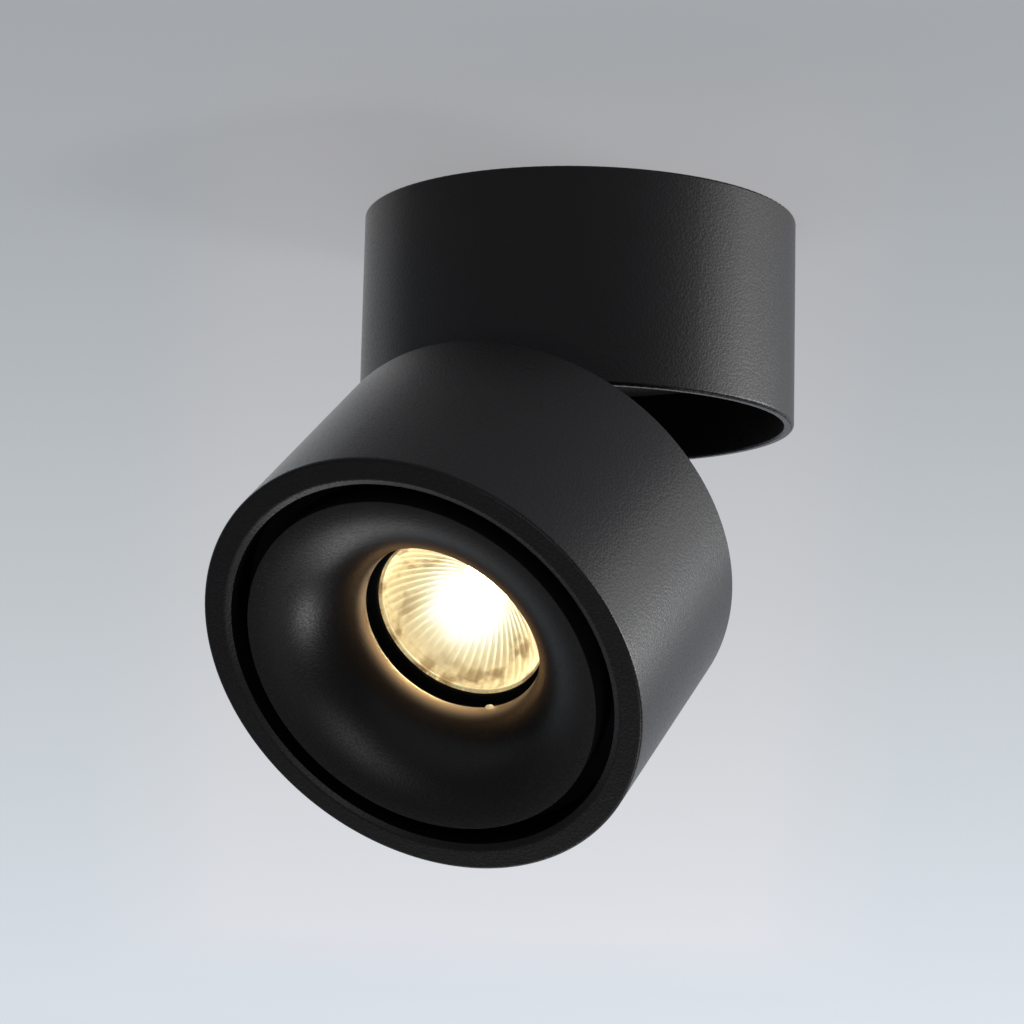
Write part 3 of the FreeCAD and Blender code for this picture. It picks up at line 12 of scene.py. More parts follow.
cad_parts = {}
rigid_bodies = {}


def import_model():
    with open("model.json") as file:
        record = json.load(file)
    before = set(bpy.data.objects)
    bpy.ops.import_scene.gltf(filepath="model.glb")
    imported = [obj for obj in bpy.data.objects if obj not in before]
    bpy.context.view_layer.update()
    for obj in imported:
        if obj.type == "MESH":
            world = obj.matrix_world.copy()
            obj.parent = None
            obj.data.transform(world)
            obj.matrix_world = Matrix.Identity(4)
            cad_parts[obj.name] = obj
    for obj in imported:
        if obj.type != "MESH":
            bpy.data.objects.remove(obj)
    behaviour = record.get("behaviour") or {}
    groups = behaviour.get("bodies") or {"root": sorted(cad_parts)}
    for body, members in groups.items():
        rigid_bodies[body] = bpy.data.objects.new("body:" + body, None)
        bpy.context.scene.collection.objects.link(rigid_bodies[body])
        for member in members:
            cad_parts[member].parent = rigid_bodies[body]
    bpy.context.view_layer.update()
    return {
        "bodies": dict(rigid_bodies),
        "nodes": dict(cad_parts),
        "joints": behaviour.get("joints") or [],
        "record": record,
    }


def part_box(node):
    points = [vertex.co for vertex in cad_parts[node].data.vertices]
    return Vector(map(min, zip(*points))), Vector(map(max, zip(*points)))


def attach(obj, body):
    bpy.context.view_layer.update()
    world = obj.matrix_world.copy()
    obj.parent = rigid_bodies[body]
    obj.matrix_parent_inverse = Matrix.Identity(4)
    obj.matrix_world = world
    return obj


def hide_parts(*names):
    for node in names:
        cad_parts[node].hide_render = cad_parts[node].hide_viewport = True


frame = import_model()
NODES = frame["nodes"]
MM = 0.001

# ---- where the model puts things ---------------------------------------------

TILT = next(joint for joint in frame["joints"] if joint["name"] == "tilt")
HINGE = Vector(TILT["pos_m"])
REST_TILT = -math.radians(TILT["range_deg"][0])
CANOPY_LOW, CANOPY_HIGH = (Vector(corner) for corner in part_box("canopy_shell"))
BODY_R = CANOPY_HIGH.x
CLOSED_GAP = 2.0 * MM
HEAD = (Matrix.Translation(HINGE)
        @ Matrix.Rotation(REST_TILT, 4, Vector(TILT["axis"]))
        @ Matrix.Translation(-HINGE)
        @ Matrix.Translation((0, 0, CANOPY_LOW.z - CLOSED_GAP)))


# ---- the head's own heights and radii, in mm ----------------------------------

FRONT_MM = -53.5
SHELL_R = 50.0
LAND_R = 45.1
THROAT_R = 43.8
THROAT_Z = FRONT_MM + 0.7
SEAT_Z = -44.5
COVER_RIM_R = 48.7
COVER_R = 47.7
COVER_SEAT_Z = -6.5
CASING_BORE_R = 46.0

BAFFLE_R = 39.9
TRUMPET = (40.6, -33.02)
TRUMPET_CURVE = 20.0
SKIN = 1.8
MOUTH_R = 20.75
LIP_Z = -35.5
COLLAR_BORE_R = 24.0
COLLAR_R = 26.0
COLLAR_BACK = -27.0
BAFFLE_SEAT_R = 38.0
BAFFLE_RIM_Z = -53.0

TUBE_FRONT = -35.0
TUBE_BORE_R = 21.4
RING_R = 19.6
RING_FRONT = -31.9
RING_BACK = -31.2
GLASS_R = 21.3
RIM_Z = -30.2
RIM_R = 19.3
EXIT_R = 6.0
EXIT_Z = -16.6
FLUTES = 56
SCALLOP = 0.032
CUP_BULGE = 30.0
CUP_WALL = 0.9
# Painted reflection in the cup: the spot, in the head's own mm, round which the reflector glows
# white as a painted image of the chip, and how far that painted glow reaches.
PAINTED_CHIP_IMAGE_SPOT = (-6.0, 5.0, -18.5)
PAINTED_CHIP_IMAGE_REACH = 20.0

GEL_R = 5.0
GEL_Z = -16.4
DAM_R = 5.5
DAM_BACK = -16.0


# ---- node trees --------------------------------------------------------------

class Wire:
    """A socket's output. Arithmetic on it adds the Math nodes that work it out."""

    def __init__(self, tree, socket):
        self.tree = tree
        self.socket = socket

    def maths(self, operation, *values):
        return self.tree.node("ShaderNodeMath", {"operation": operation}, dict(enumerate(values)))

    def __add__(self, other):
        return self.maths("ADD", self, other)

    __radd__ = __add__

    def __sub__(self, other):
        return self.maths("SUBTRACT", self, other)

    def __rsub__(self, other):
        return self.maths("SUBTRACT", other, self)

    def __mul__(self, other):
        return self.maths("MULTIPLY", self, other)

    __rmul__ = __mul__

    def __truediv__(self, other):
        return self.maths("DIVIDE", self, other)

    def __pow__(self, other):
        return self.maths("POWER", self, other)

    def cosine(self):
        return self.maths("COSINE", self)

    def size(self):
        return self.maths("ABSOLUTE", self)

    def held(self):
        """Held between 0 and 1."""
        return self.tree.node("ShaderNodeClamp", {}, {"Value": self})


class Tree:
    """A node tree being built. Sockets are named or numbered; values or wires fill them."""

    def __init__(self, tree):
        self.tree = tree

    def fill(self, made, sockets):
        for key, value in sockets.items():
            if isinstance(value, Wire):
                self.tree.links.new(value.socket, made.inputs[key])
            else:
                made.inputs[key].default_value = value

    def node(self, kind, settings=None, sockets=None, output=0):
        """Adds a node, sets it up, fills its sockets and returns one of its outputs."""
        made = self.tree.nodes.new(kind)
        for key, value in (settings or {}).items():
            if key == "stops":
                self.set_stops(made.color_ramp, value)
            else:
                setattr(made, key, value)
        self.fill(made, sockets or {})
        if not made.outputs:
            return None
        return Wire(self, made.outputs[output])

    def set_stops(self, ramp, stops):
        while len(ramp.elements) < len(stops):
            ramp.elements.new(1.0)
        for element, (place, colour) in zip(ramp.elements, stops):
            element.position = place
            element.color = (*colour, 1.0)


class Finish(Tree):
    """A procedural material. Patterns read the piece's own object coordinates."""

    def __init__(self, name):
        self.material = bpy.data.materials.new(name)
        self.material.use_nodes = True
        super().__init__(self.material.node_tree)
        self.tree.nodes.clear()

    def place(self):
        return self.node("ShaderNodeTexCoord", output="Object")

    def place_in_head(self):
        """The spot's x, y and z in the head's own frame in mm. Z is the light's axis."""
        spot = self.node("ShaderNodeMapping", {"vector_type": "TEXTURE"}, {
            "Vector": self.place(), "Location": HEAD.to_translation(),
            "Rotation": HEAD.to_euler(), "Scale": (MM, MM, MM)})
        return [self.node("ShaderNodeSeparateXYZ", {}, {0: spot}, axis) for axis in "XYZ"]

    def noise(self, scale, detail=2.0, roughness=0.5):
        return self.node("ShaderNodeTexNoise", {}, {
            "Vector": self.place(), "Scale": scale, "Detail": detail, "Roughness": roughness})

    def grains(self, scale):
        return self.node("ShaderNodeTexVoronoi", {"feature": "F1"},
                         {"Vector": self.place(), "Scale": scale}, "Distance")

    def blend(self, factor, low, high):
        """Mixes two colours, each an RGB triple or a wire."""
        low = low if isinstance(low, Wire) else (*low, 1.0)
        high = high if isinstance(high, Wire) else (*high, 1.0)
        return self.node("ShaderNodeMix", {"data_type": "RGBA"},
                         {"Factor": factor, 6: low, 7: high}, 2)

    def bump(self, height, distance, strength=1.0):
        return self.node("ShaderNodeBump", {}, {
            "Height": height, "Distance": distance, "Strength": strength})

    def surface(self, **sockets):
        """The closing shader: keywords are the shader's sockets, with _ for a space."""
        named = {key.replace("_", " "): value for key, value in sockets.items()}
        for key in ("Base Color", "Emission Color"):
            if key in named and not isinstance(named[key], Wire):
                named[key] = (*named[key], 1.0)
        shader = self.node("ShaderNodeBsdfPrincipled", {}, named)
        return self.close(shader)

    def close(self, shader):
        self.node("ShaderNodeOutputMaterial", {}, {"Surface": shader})
        return self.material


# ---- finishes ----------------------------------------------------------------

def fine_powder(name, dark, light, rough, grain_mm, height_mm, gloss=0.42):
    """A textured powder coat: fine grains that glitter a little where light grazes."""
    paint = Finish(name)
    grain = paint.grains(1 / (grain_mm * MM)) + paint.noise(1 / (grain_mm * MM)) * 0.6
    drift = paint.noise(60.0, 3.0)
    colour = paint.blend(drift, dark, light)
    roughness = rough + (grain - 0.7) * 0.14
    normal = paint.bump(grain, height_mm * MM)
    return paint.surface(Base_Color=colour, Roughness=roughness, Normal=normal,
                         Specular_IOR_Level=gloss)


def plain_metal(name, colour, rough, brush_mm=0.35, depth_mm=0.004):
    metal = Finish(name)
    brush = metal.noise(1 / (brush_mm * MM), 4.0, 0.6)
    tone = metal.blend(brush, [c * 0.82 for c in colour], colour)
    return metal.surface(Base_Color=tone, Metallic=1.0, Roughness=rough + (brush - 0.5) * 0.2,
                         Normal=metal.bump(brush, depth_mm * MM))


def moulded(name, colour, rough, grain_mm=0.5):
    plastic = Finish(name)
    grain = plastic.noise(1 / (grain_mm * MM), 3.0)
    tone = plastic.blend(grain, [c * 0.9 for c in colour], colour)
    return plastic.surface(Base_Color=tone, Roughness=rough + (grain - 0.5) * 0.1,
                           Normal=plastic.bump(grain, 0.01 * MM))


def lit_phosphor():
    chip = Finish("lit_phosphor")
    grain = chip.noise(900.0, 2.0)
    glow = chip.blend(grain, (1.0, 0.80, 0.50), (1.0, 0.86, 0.60))
    return chip.surface(Base_Color=(0.9, 0.7, 0.3), Roughness=0.4, Emission_Color=glow,
                        Emission_Strength=14.0)


def bright_reflector():
    """Metallised plastic that glows with painted light: white round a set spot, as a painted
    reflection of the chip in the cup. Away from it the painted glow turns yellow, with tan
    patches of painted reflection where the cup mirrors the dark, and faint painted flute stripes."""
    mirror = Finish("bright_reflector")
    x, y, z = mirror.place_in_head()
    turn = mirror.node("ShaderNodeMath", {"operation": "ARCTAN2"}, {0: y, 1: x})
    # Painted flute stripes, worked into the painted glow.
    streak = (turn * FLUTES).cosine() * 0.5 + 0.5
    cloud = mirror.noise(170.0, 3.0)
    # Distance from the painted chip image: it sets where the cup's painted glow is white, yellow or
    # tan.
    from_painted_chip_image = ((x - PAINTED_CHIP_IMAGE_SPOT[0]) ** 2 + (y - PAINTED_CHIP_IMAGE_SPOT[1]) ** 2
            + (z - PAINTED_CHIP_IMAGE_SPOT[2]) ** 2) ** 0.5 / PAINTED_CHIP_IMAGE_REACH
    reach = from_painted_chip_image + (cloud - 0.5) * 0.2 + streak * 0.05
    light = mirror.node("ShaderNodeValToRGB", {"stops": [
        (0.34, (1.0, 0.96, 0.86)), (0.52, (0.58, 0.52, 0.36)), (0.70, (0.37, 0.31, 0.19)),
        (1.0, (0.29, 0.22, 0.11))]}, {0: reach})
    # Tan patches darken both the colour and the glow away from the chip image: a painted reflection
    # of the dark.
    painted_dark_reflection = ((cloud - 0.53) * 9.0).held() * ((from_painted_chip_image - 0.5) * 3.0).held()
    tone = mirror.blend(painted_dark_reflection, (0.92, 0.84, 0.66), (0.45, 0.36, 0.24))
    glow = mirror.blend(painted_dark_reflection, light, (0.14, 0.085, 0.04))
    # The emission is painted light: the cup is no lamp.
    return mirror.surface(Base_Color=tone, Metallic=1.0, Roughness=0.26 + cloud * 0.12,
                          Emission_Color=glow, Emission_Strength=1.5)


def lip_with_painted_highlight():
    """The baffle's satin black, turned into bright warm metal in a thin ring on the lip: a painted
    highlight of the lip where it catches the light.
    """
    paint = Finish("lip_with_painted_highlight")
    x, y = paint.place_in_head()[:2]
    # Painted highlight: a thin warm metallic ring on the lip that renders as a lit line.
    lip_line = ((22.0 - (x ** 2 + y ** 2) ** 0.5) / 1.2).held() ** 4
    grain = paint.grains(1670.0) + paint.noise(1670.0) * 0.6
    # Warm pale metal on the ring is a painted highlight; the rest stays satin black.
    colour = paint.blend(lip_line, (0.0065, 0.006, 0.0063), (0.80, 0.68, 0.50))
    return paint.surface(Base_Color=colour, Metallic=lip_line, Roughness=0.36 + (grain - 0.7) * 0.14,
                         Normal=paint.bump(grain, 0.018 * MM), Specular_IOR_Level=0.30)


def clear_glass():
    """Thin clear glass: it lets light straight through and keeps its gloss."""
    glass = Finish("clear_glass")
    edge = glass.node("ShaderNodeFresnel", {}, {"IOR": 1.45})
    through = glass.node("ShaderNodeBsdfTransparent", {}, {"Color": (0.97, 0.98, 0.97, 1.0)})
    gloss = glass.node("ShaderNodeBsdfGlossy", {}, {"Roughness": 0.03})
    return glass.close(glass.node("ShaderNodeMixShader", {}, {0: edge, 1: through, 2: gloss}))


FINISHES = {
    "powder_coat": fine_powder("powder_coat", (0.0055, 0.0048, 0.0056),
                               (0.0085, 0.0074, 0.0086), 0.37, 0.60, 0.035, 0.25),
    "satin_black": fine_powder("satin_black", (0.0055, 0.0050, 0.0053),
                               (0.0075, 0.0068, 0.0072), 0.36, 0.60, 0.018, 0.30),
    "black_anodised": fine_powder("black_anodised", (0.0015, 0.0015, 0.0018),
                                  (0.0025, 0.0025, 0.0028), 0.6, 0.25, 0.008, 0.10),
    "black_steel": fine_powder("black_steel", (0.010, 0.010, 0.011), (0.016, 0.016, 0.017),
                               0.45, 0.5, 0.02),
    "blackened_steel": plain_metal("blackened_steel", (0.10, 0.10, 0.105), 0.38),
    "zinc_steel": plain_metal("zinc_steel", (0.62, 0.63, 0.66), 0.32),
    "brass": plain_metal("brass", (0.80, 0.58, 0.26), 0.28),
    "bare_aluminium": plain_metal("bare_aluminium", (0.72, 0.73, 0.74), 0.36),
    "white_plastic": moulded("white_plastic", (0.80, 0.80, 0.78), 0.42),
    "dark_plastic": moulded("dark_plastic", (0.02, 0.02, 0.022), 0.38),
    "nylon": moulded("nylon", (0.72, 0.70, 0.62), 0.45),
    "black_rubber": moulded("black_rubber", (0.015, 0.015, 0.015), 0.62),
    "circuit_board": moulded("circuit_board", (0.03, 0.16, 0.08), 0.35, 1.2),
    "chip_board": moulded("chip_board", (0.82, 0.82, 0.80), 0.4),
    "lit_phosphor": lit_phosphor(),
    "bright_reflector": bright_reflector(),
    "clear_glass": clear_glass(),
}

for part in frame["record"]["subparts"]:
    thing = NODES[part["node"]]
    for slot in thing.material_slots:
        slot.material = FINISHES[part["material_slot"]]


# ---- turned pieces -----------------------------------------------------------

def finished(name, mesh, body, slot, *stands_for):
    """Turns a mesh into a piece of the lamp: its finish, its body, its CAD nodes."""
    for polygon in mesh.polygons:
        polygon.use_smooth = True
    mesh.set_sharp_from_angle(angle=math.radians(33))
    mesh.materials.clear()
    mesh.materials.append(FINISHES[slot])
    thing = bpy.data.objects.new(name, mesh)
    bpy.context.scene.collection.objects.link(thing)
    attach(thing, body)
    if stands_for:
        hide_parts(*stands_for)
    return thing


def softened(corners, facets=5):
    """An outline of (radius, height) corners in mm. A third number rounds a corner, and a
    short step on both sides of the round keeps the flats beside it flat."""
    outline = []
    for i, corner in enumerate(corners):
        here = Vector((corner[0], 0, corner[1]))
        if len(corner) == 2:
            outline.append(here)
            continue
        ahead = corners[(i + 1) % len(corners)]
        back = (Vector((corners[i - 1][0], 0, corners[i - 1][1])) - here).normalized()
        on = (Vector((ahead[0], 0, ahead[1])) - here).normalized()
        half = back.angle(on) / 2
        reach = corner[2] / math.tan(half)
        centre = here + (back + on).normalized() * corner[2] / math.sin(half)
        first = here + back * reach - centre
        last = here + on * reach - centre
        outline.append(here + back * reach * 1.3)
        for step in range(facets + 1):
            outline.append(centre + first.slerp(last, step / facets) * corner[2])
        outline.append(here + on * reach * 1.3)
    return outline


def bow(centre, radius, start, end, facets):
    """Points of an arc about a centre (radius, height), between two angles in degrees."""
    angles = [math.radians(start + (end - start) * i / facets) for i in range(facets + 1)]
    return [(centre[0] + radius * math.cos(a), centre[1] + radius * math.sin(a)) for a in angles]


def turned(outline, steps=240):
    """Turns a closed outline about Z. The mesh is in metres, still in its own place."""
    work = bmesh.new()
    rings = []
    for step in range(steps):
        spin = Matrix.Rotation(step / steps * math.tau, 3, "Z")
        rings.append([work.verts.new(spin @ (point * MM)) for point in outline])
    for step in range(steps):
        ring = rings[step]
        after = rings[(step + 1) % steps]
        for i in range(len(outline)):
            corners = [ring[i - 1], ring[i], after[i], after[i - 1]]
            work.faces.new(corners)
    bmesh.ops.remove_doubles(work, verts=work.verts, dist=1e-7)
    bmesh.ops.dissolve_degenerate(work, edges=work.edges, dist=1e-8)
    bmesh.ops.recalc_face_normals(work, faces=work.faces)
    mesh = bpy.data.meshes.new("turned")
    work.to_mesh(mesh)
    work.free()
    return mesh


def turned_in_head(name, corners, slot, *stands_for):
    mesh = turned(softened(corners))
    mesh.transform(HEAD)
    return finished(name, mesh, "head", slot, *stands_for)


def repaint(thing, finish, radius, low, high):
    """Gives the faces of a head piece inside a radius and between two heights a finish."""
    thing.data.materials.append(finish)
    back = HEAD.inverted()
    for polygon in thing.data.polygons:
        centre = back @ polygon.center / MM
        if centre.xy.length < radius and low < centre.z < high:
            polygon.material_index = len(thing.data.materials) - 1


def make_housing():
    """The shell, its flat front land and the bevel that leads into the throat. The throat's wall
    gets a darker, duller black: partly its own black, partly painted shade in the deep groove.
    """
    casing = turned_in_head("lamp_head_casing", [
        (COVER_R, COVER_SEAT_Z), (COVER_R, -1.0, 0.2), (COVER_RIM_R, 0.0, 0.2),
        (SHELL_R, 0.0, 0.6), (SHELL_R, FRONT_MM, 0.6), (LAND_R, FRONT_MM, 1.5),
        (THROAT_R, THROAT_Z), (THROAT_R, SEAT_Z), (CASING_BORE_R, SEAT_Z),
        (CASING_BORE_R, COVER_SEAT_Z)], "powder_coat", "head_housing")
    # Painted shade: the deep throat wall gets the darker, duller black, partly its own colour and
    # partly the groove's shade.
    repaint(casing, FINISHES["black_anodised"], THROAT_R + 0.05, THROAT_Z + 0.3, 0.0)


def make_baffle():
    """The trumpet, its rolled outer edge, its thin lip and the collar behind it."""
    def angle_to(radius, height):
        return math.degrees(math.atan2(height - TRUMPET[1], radius - TRUMPET[0]))

    face = bow(TRUMPET, TRUMPET_CURVE, angle_to(BAFFLE_R - 0.4, BAFFLE_RIM_Z),
               angle_to(MOUTH_R + 0.12, LIP_Z - 0.15), 40)
    back = bow(TRUMPET, TRUMPET_CURVE - SKIN, angle_to(COLLAR_R, -43.65),
               angle_to(BAFFLE_SEAT_R, -51.0), 12)
    baffle = turned_in_head("anti_glare_baffle", [
        *face, (MOUTH_R, LIP_Z + 0.12), (MOUTH_R, TUBE_FRONT), (COLLAR_BORE_R, TUBE_FRONT),
        (COLLAR_BORE_R, COLLAR_BACK), (COLLAR_R, COLLAR_BACK), *back,
        (BAFFLE_SEAT_R, SEAT_Z), (BAFFLE_R, SEAT_Z),
        (BAFFLE_R, BAFFLE_RIM_Z + 0.25), (BAFFLE_R - 0.12, BAFFLE_RIM_Z)],
        "satin_black", "baffle")
    repaint(baffle, FINISHES["black_anodised"], SHELL_R, TUBE_FRONT, 0.0)
    # The lip and the throat just behind it take the finish with the painted lip highlight.
    repaint(baffle, lip_with_painted_highlight(), MOUTH_R + 3.0, LIP_Z - 6.0, TUBE_FRONT)


def make_front_glass():
    turned_in_head("front_glass_disc", [
        (0, RIM_Z - 1.0), (GLASS_R, RIM_Z - 1.0, 0.2), (GLASS_R, RIM_Z, 0.2), (0, RIM_Z)],
        "clear_glass", "front_glass")


def make_retainer():
    """The black snap ring that holds the glass in the tube."""
    turned_in_head("glass_snap_ring", [
        (RING_R, RING_BACK - 0.15), (RING_R + 0.15, RING_FRONT, 0.15),
        (TUBE_BORE_R, RING_FRONT), (TUBE_BORE_R, RING_BACK), (RING_R, RING_BACK)],
        "black_anodised", "glass_retainer")


def make_catch_with_painted_glint():
    """The small catch on the lip, low in the mouth. It takes the reflector's glowing finish, so its
    brightness is a painted glint.
    """
    work = bmesh.new()
    bmesh.ops.create_icosphere(work, subdivisions=3, radius=MM)
    mesh = bpy.data.meshes.new("catch")
    work.to_mesh(mesh)
    work.free()
    turn = Matrix.Rotation(math.radians(84), 4, "Z")
    place = Matrix.Translation((20.5 * MM, 0, (LIP_Z + 0.1) * MM))
    mesh.transform(HEAD @ turn @ place @ Matrix.Diagonal((0.5, 1.1, 0.45, 1)))
    # Painted glint: the catch glows with the reflector's emissive finish.
    finished("lip_catch", mesh, "head", "bright_reflector")


def make_emitter():
    """A lit disc of phosphor gel with its raised dam round it."""
    turned_in_head("lit_emitter", [
        (0, GEL_Z), (GEL_R, GEL_Z), (GEL_R + 0.15, GEL_Z - 0.1), (GEL_R + 0.3, GEL_Z - 0.15),
        (DAM_R, GEL_Z - 0.05), (DAM_R, DAM_BACK), (0, DAM_BACK)], "lit_phosphor", "led_emitter")


# ---- the fluted reflector ----------------------------------------------------

def ring_of_copies():
    """A Geometry Nodes group that sets copies of its input round the Z axis."""
    group = bpy.data.node_groups.new("ring_of_copies", "GeometryNodeTree")
    sides = group.interface
    sides.new_socket("Geometry", in_out="INPUT", socket_type="NodeSocketGeometry")
    count = sides.new_socket("Count", in_out="INPUT", socket_type="NodeSocketInt")
    finish = sides.new_socket("Finish", in_out="INPUT", socket_type="NodeSocketMaterial")
    sides.new_socket("Geometry", in_out="OUTPUT", socket_type="NodeSocketGeometry")
    build = Tree(group)
    entry = group.nodes.new("NodeGroupInput")
    piece, many, paint = (Wire(build, entry.outputs[i]) for i in range(3))
    spots = build.node("GeometryNodeMeshLine", {"mode": "OFFSET"}, {
        "Count": many, "Start Location": (0, 0, 0), "Offset": (0, 0, 0)})
    turn = build.node("GeometryNodeInputIndex") * math.tau / many
    spin = build.node("ShaderNodeCombineXYZ", {}, {"Z": turn})
    copies = build.node("GeometryNodeInstanceOnPoints", {}, {
        "Points": spots, "Instance": piece, "Rotation": spin})
    real = build.node("GeometryNodeRealizeInstances", {}, {"Geometry": copies})
    joined = build.node("GeometryNodeMergeByDistance", {}, {"Geometry": real, "Distance": 2e-6})
    painted = build.node("GeometryNodeSetMaterial", {}, {"Geometry": joined, "Material": paint})
    build.node("NodeGroupOutput", {}, {"Geometry": painted})
    return group, count.identifier, finish.identifier


def repeated(mesh, count, finish):
    """A mesh repeated round the Z axis and joined up, as one plain mesh."""
    group, count_socket, finish_socket = ring_of_copies()
    maker = bpy.data.objects.new("maker", mesh)
    bpy.context.scene.collection.objects.link(maker)
    ring = maker.modifiers.new("ring", "NODES")
    ring.node_group = group
    ring[count_socket] = count
    ring[finish_socket] = finish
    seen = maker.evaluated_get(bpy.context.evaluated_depsgraph_get())
    made = bpy.data.meshes.new_from_object(seen)
    bpy.data.objects.remove(maker)
    return made


def make_reflector():
    """One flute of the spun cup, with the wall and flange behind it, is repeated round.
    A flute is a shallow scallop. It fades out at the rim and at the emitter."""
    facets = 22
    chord = Vector((RIM_R - EXIT_R, RIM_Z - EXIT_Z))
    middle = Vector((EXIT_R, EXIT_Z)) + chord / 2
    drop = math.sqrt(CUP_BULGE ** 2 - (chord.length / 2) ** 2)
    centre = middle + Vector((chord.y, -chord.x)).normalized() * drop
    ends = [math.degrees(math.atan2(z - centre.y, r - centre.x))
            for r, z in ((EXIT_R, EXIT_Z), (RIM_R - 0.25, RIM_Z))]
    inside = bow(centre, CUP_BULGE, ends[0], ends[1], facets)
    outline = [(Vector((r, z)), math.sin(math.pi * min(i / facets * 1.02, 1.0)) ** 0.55
                if i < facets else 0.0) for i, (r, z) in enumerate(inside)]
    outline += [(Vector(corner), 0.0) for corner in [
        (RIM_R - 0.2, RIM_Z - 0.12), (RIM_R, RIM_Z - 0.2), (RIM_R + 0.2, RIM_Z - 0.12),
        (RIM_R + 0.3, RIM_Z), (GLASS_R, RIM_Z), (GLASS_R, RIM_Z + 0.8), (20.0, RIM_Z + 0.8)]]
    outline += [(Vector(corner), 0.0)
                for corner in bow(centre, CUP_BULGE + CUP_WALL, ends[1] + 1, ends[0] - 0.5, 8)]
    strips = 8
    pitch = math.tau / FLUTES
    work = bmesh.new()
    rows = []
    for j in range(strips + 1):
        turn = pitch * j / strips
        scallop = math.sin(math.pi * j / strips)
        row = []
        for point, share in outline:
            radius = point.x + SCALLOP * point.x * share * scallop
            row.append(work.verts.new((radius * math.cos(turn) * MM, radius * math.sin(turn) * MM,
                                       point.y * MM)))
        rows.append(row)
    for j in range(strips):
        for i in range(len(outline)):
            work.faces.new((rows[j][i - 1], rows[j][i], rows[j + 1][i], rows[j + 1][i - 1]))
    bmesh.ops.recalc_face_normals(work, faces=work.faces)
    strip = bpy.data.meshes.new("flute")
    work.to_mesh(strip)
    work.free()
    mesh = repeated(strip, FLUTES, FINISHES["bright_reflector"])
    work = bmesh.new()
    work.from_mesh(mesh)
    bmesh.ops.recalc_face_normals(work, faces=work.faces)
    work.to_mesh(mesh)
    work.free()
    mesh.transform(HEAD)
    finished("fluted_reflector", mesh, "head", "bright_reflector", "reflector")


make_housing()
make_baffle()
make_front_glass()
make_retainer()
make_catch_with_painted_glint()
make_emitter()
make_reflector()


# ---- camera ------------------------------------------------------------------

EYE = Vector((306.5, -569.6, -169.5)) * MM
YAW = 0.5158
PITCH = 0.1553
ROLL = 0.0231
LENS_MM = 100.31

forward = Vector((-math.sin(YAW) * math.cos(PITCH), math.cos(YAW) * math.cos(PITCH),
                  math.sin(PITCH)))
level = Vector((math.cos(YAW), math.sin(YAW), 0))
rise = level.cross(forward)
across = math.cos(ROLL) * level + math.sin(ROLL) * rise
upward = math.cos(ROLL) * rise - math.sin(ROLL) * level


def make_camera():
    data = bpy.data.cameras.new("eye")
    data.lens = LENS_MM
    data.sensor_width = 36.0
    data.clip_start = 0.01
    camera = bpy.data.objects.new("eye", data)
    turn = Matrix((across, upward, -forward)).transposed()
    camera.matrix_world = Matrix.Translation(EYE) @ turn.to_4x4()
    bpy.context.scene.collection.objects.link(camera)
    bpy.context.scene.camera = camera


make_camera()


# ---- stage -------------------------------------------------------------------

# The ceiling's tones: deeper overhead as painted shade, and a warm band behind the lamp that is a
# painted pool of light.
CEILING_TONES_WITH_PAINTED_FALLOFF = [(0.088, (0.416, 0.438, 0.460)), (0.341, (0.596, 0.631, 0.659)),
                 (0.558, (0.765, 0.823, 0.881))]
LIGHT_POOL_TINT = (1.09, 1.036, 1.024, 1.0)
LIGHT_POOL_SHIFT = 0.015
LIGHT_POOL_HALF = 0.09
LIGHT_POOL_FADE = 0.05
LIGHT_POOL_ENDS = (0.09, 0.545)
LIGHT_POOL_END_FADE = 0.03


def stage_mesh():
    """A ceiling that sweeps down into a wall, square to the camera, with a hole
    where the canopy stands so that its inside isn't shut from above."""
    ahead = Vector((-math.sin(YAW), math.cos(YAW), 0))
    aside = Vector((math.cos(YAW), math.sin(YAW), 0))
    half_width = 1.8
    near = -1.2
    flat_end = 0.35
    bend = 0.5
    drop = 1.6
    steps = 24
    path = [(near, 0.0), (-0.2, 0.0), (0.2, 0.0), (flat_end, 0.0)]
    for step in range(1, steps + 1):
        angle = step / steps * math.pi / 2
        path.append((flat_end + bend * math.sin(angle), bend * (math.cos(angle) - 1)))
    path.append((flat_end + bend, -drop))
    mesh = bmesh.new()
    rails = []
    for run, height in path:
        rails.append([mesh.verts.new(ahead * run + aside * side + Vector((0, 0, height)))
                      for side in (-half_width, -0.2, 0.2, half_width)])
    for i in range(len(path) - 1):
        for j in range(3):
            if i == 1 and j == 1:
                continue
            mesh.faces.new((rails[i][j], rails[i][j + 1], rails[i + 1][j + 1], rails[i + 1][j]))
    hole_r = BODY_R - 1 * MM
    count = 64
    ring = []
    for step in range(count):
        angle = step / count * math.tau
        ring.append(mesh.verts.new((hole_r * math.cos(angle), hole_r * math.sin(angle), 0)))
    square = [rails[1][1], rails[1][2], rails[2][2], rails[2][1]]
    edges = []
    for loop in (ring, square):
        for i, vertex in enumerate(loop):
            other = loop[(i + 1) % len(loop)]
            edge = mesh.edges.get((vertex, other)) or mesh.edges.new((vertex, other))
            edges.append(edge)
    bmesh.ops.triangle_fill(mesh, use_beauty=True, edges=edges)
    for face in mesh.faces:
        if face.normal.length == 0:
            face.normal_update()
    bmesh.ops.recalc_face_normals(mesh, faces=mesh.faces)
    mesh.normal_update()
    centre = [face for face in mesh.faces if abs(face.calc_center_median().z) < 1e-6][0]
    if centre.normal.z > 0:
        bmesh.ops.reverse_faces(mesh, faces=mesh.faces)
    made = bpy.data.meshes.new("ceiling")
    mesh.to_mesh(made)
    mesh.free()
    for polygon in made.polygons:
        polygon.use_smooth = True
    return made


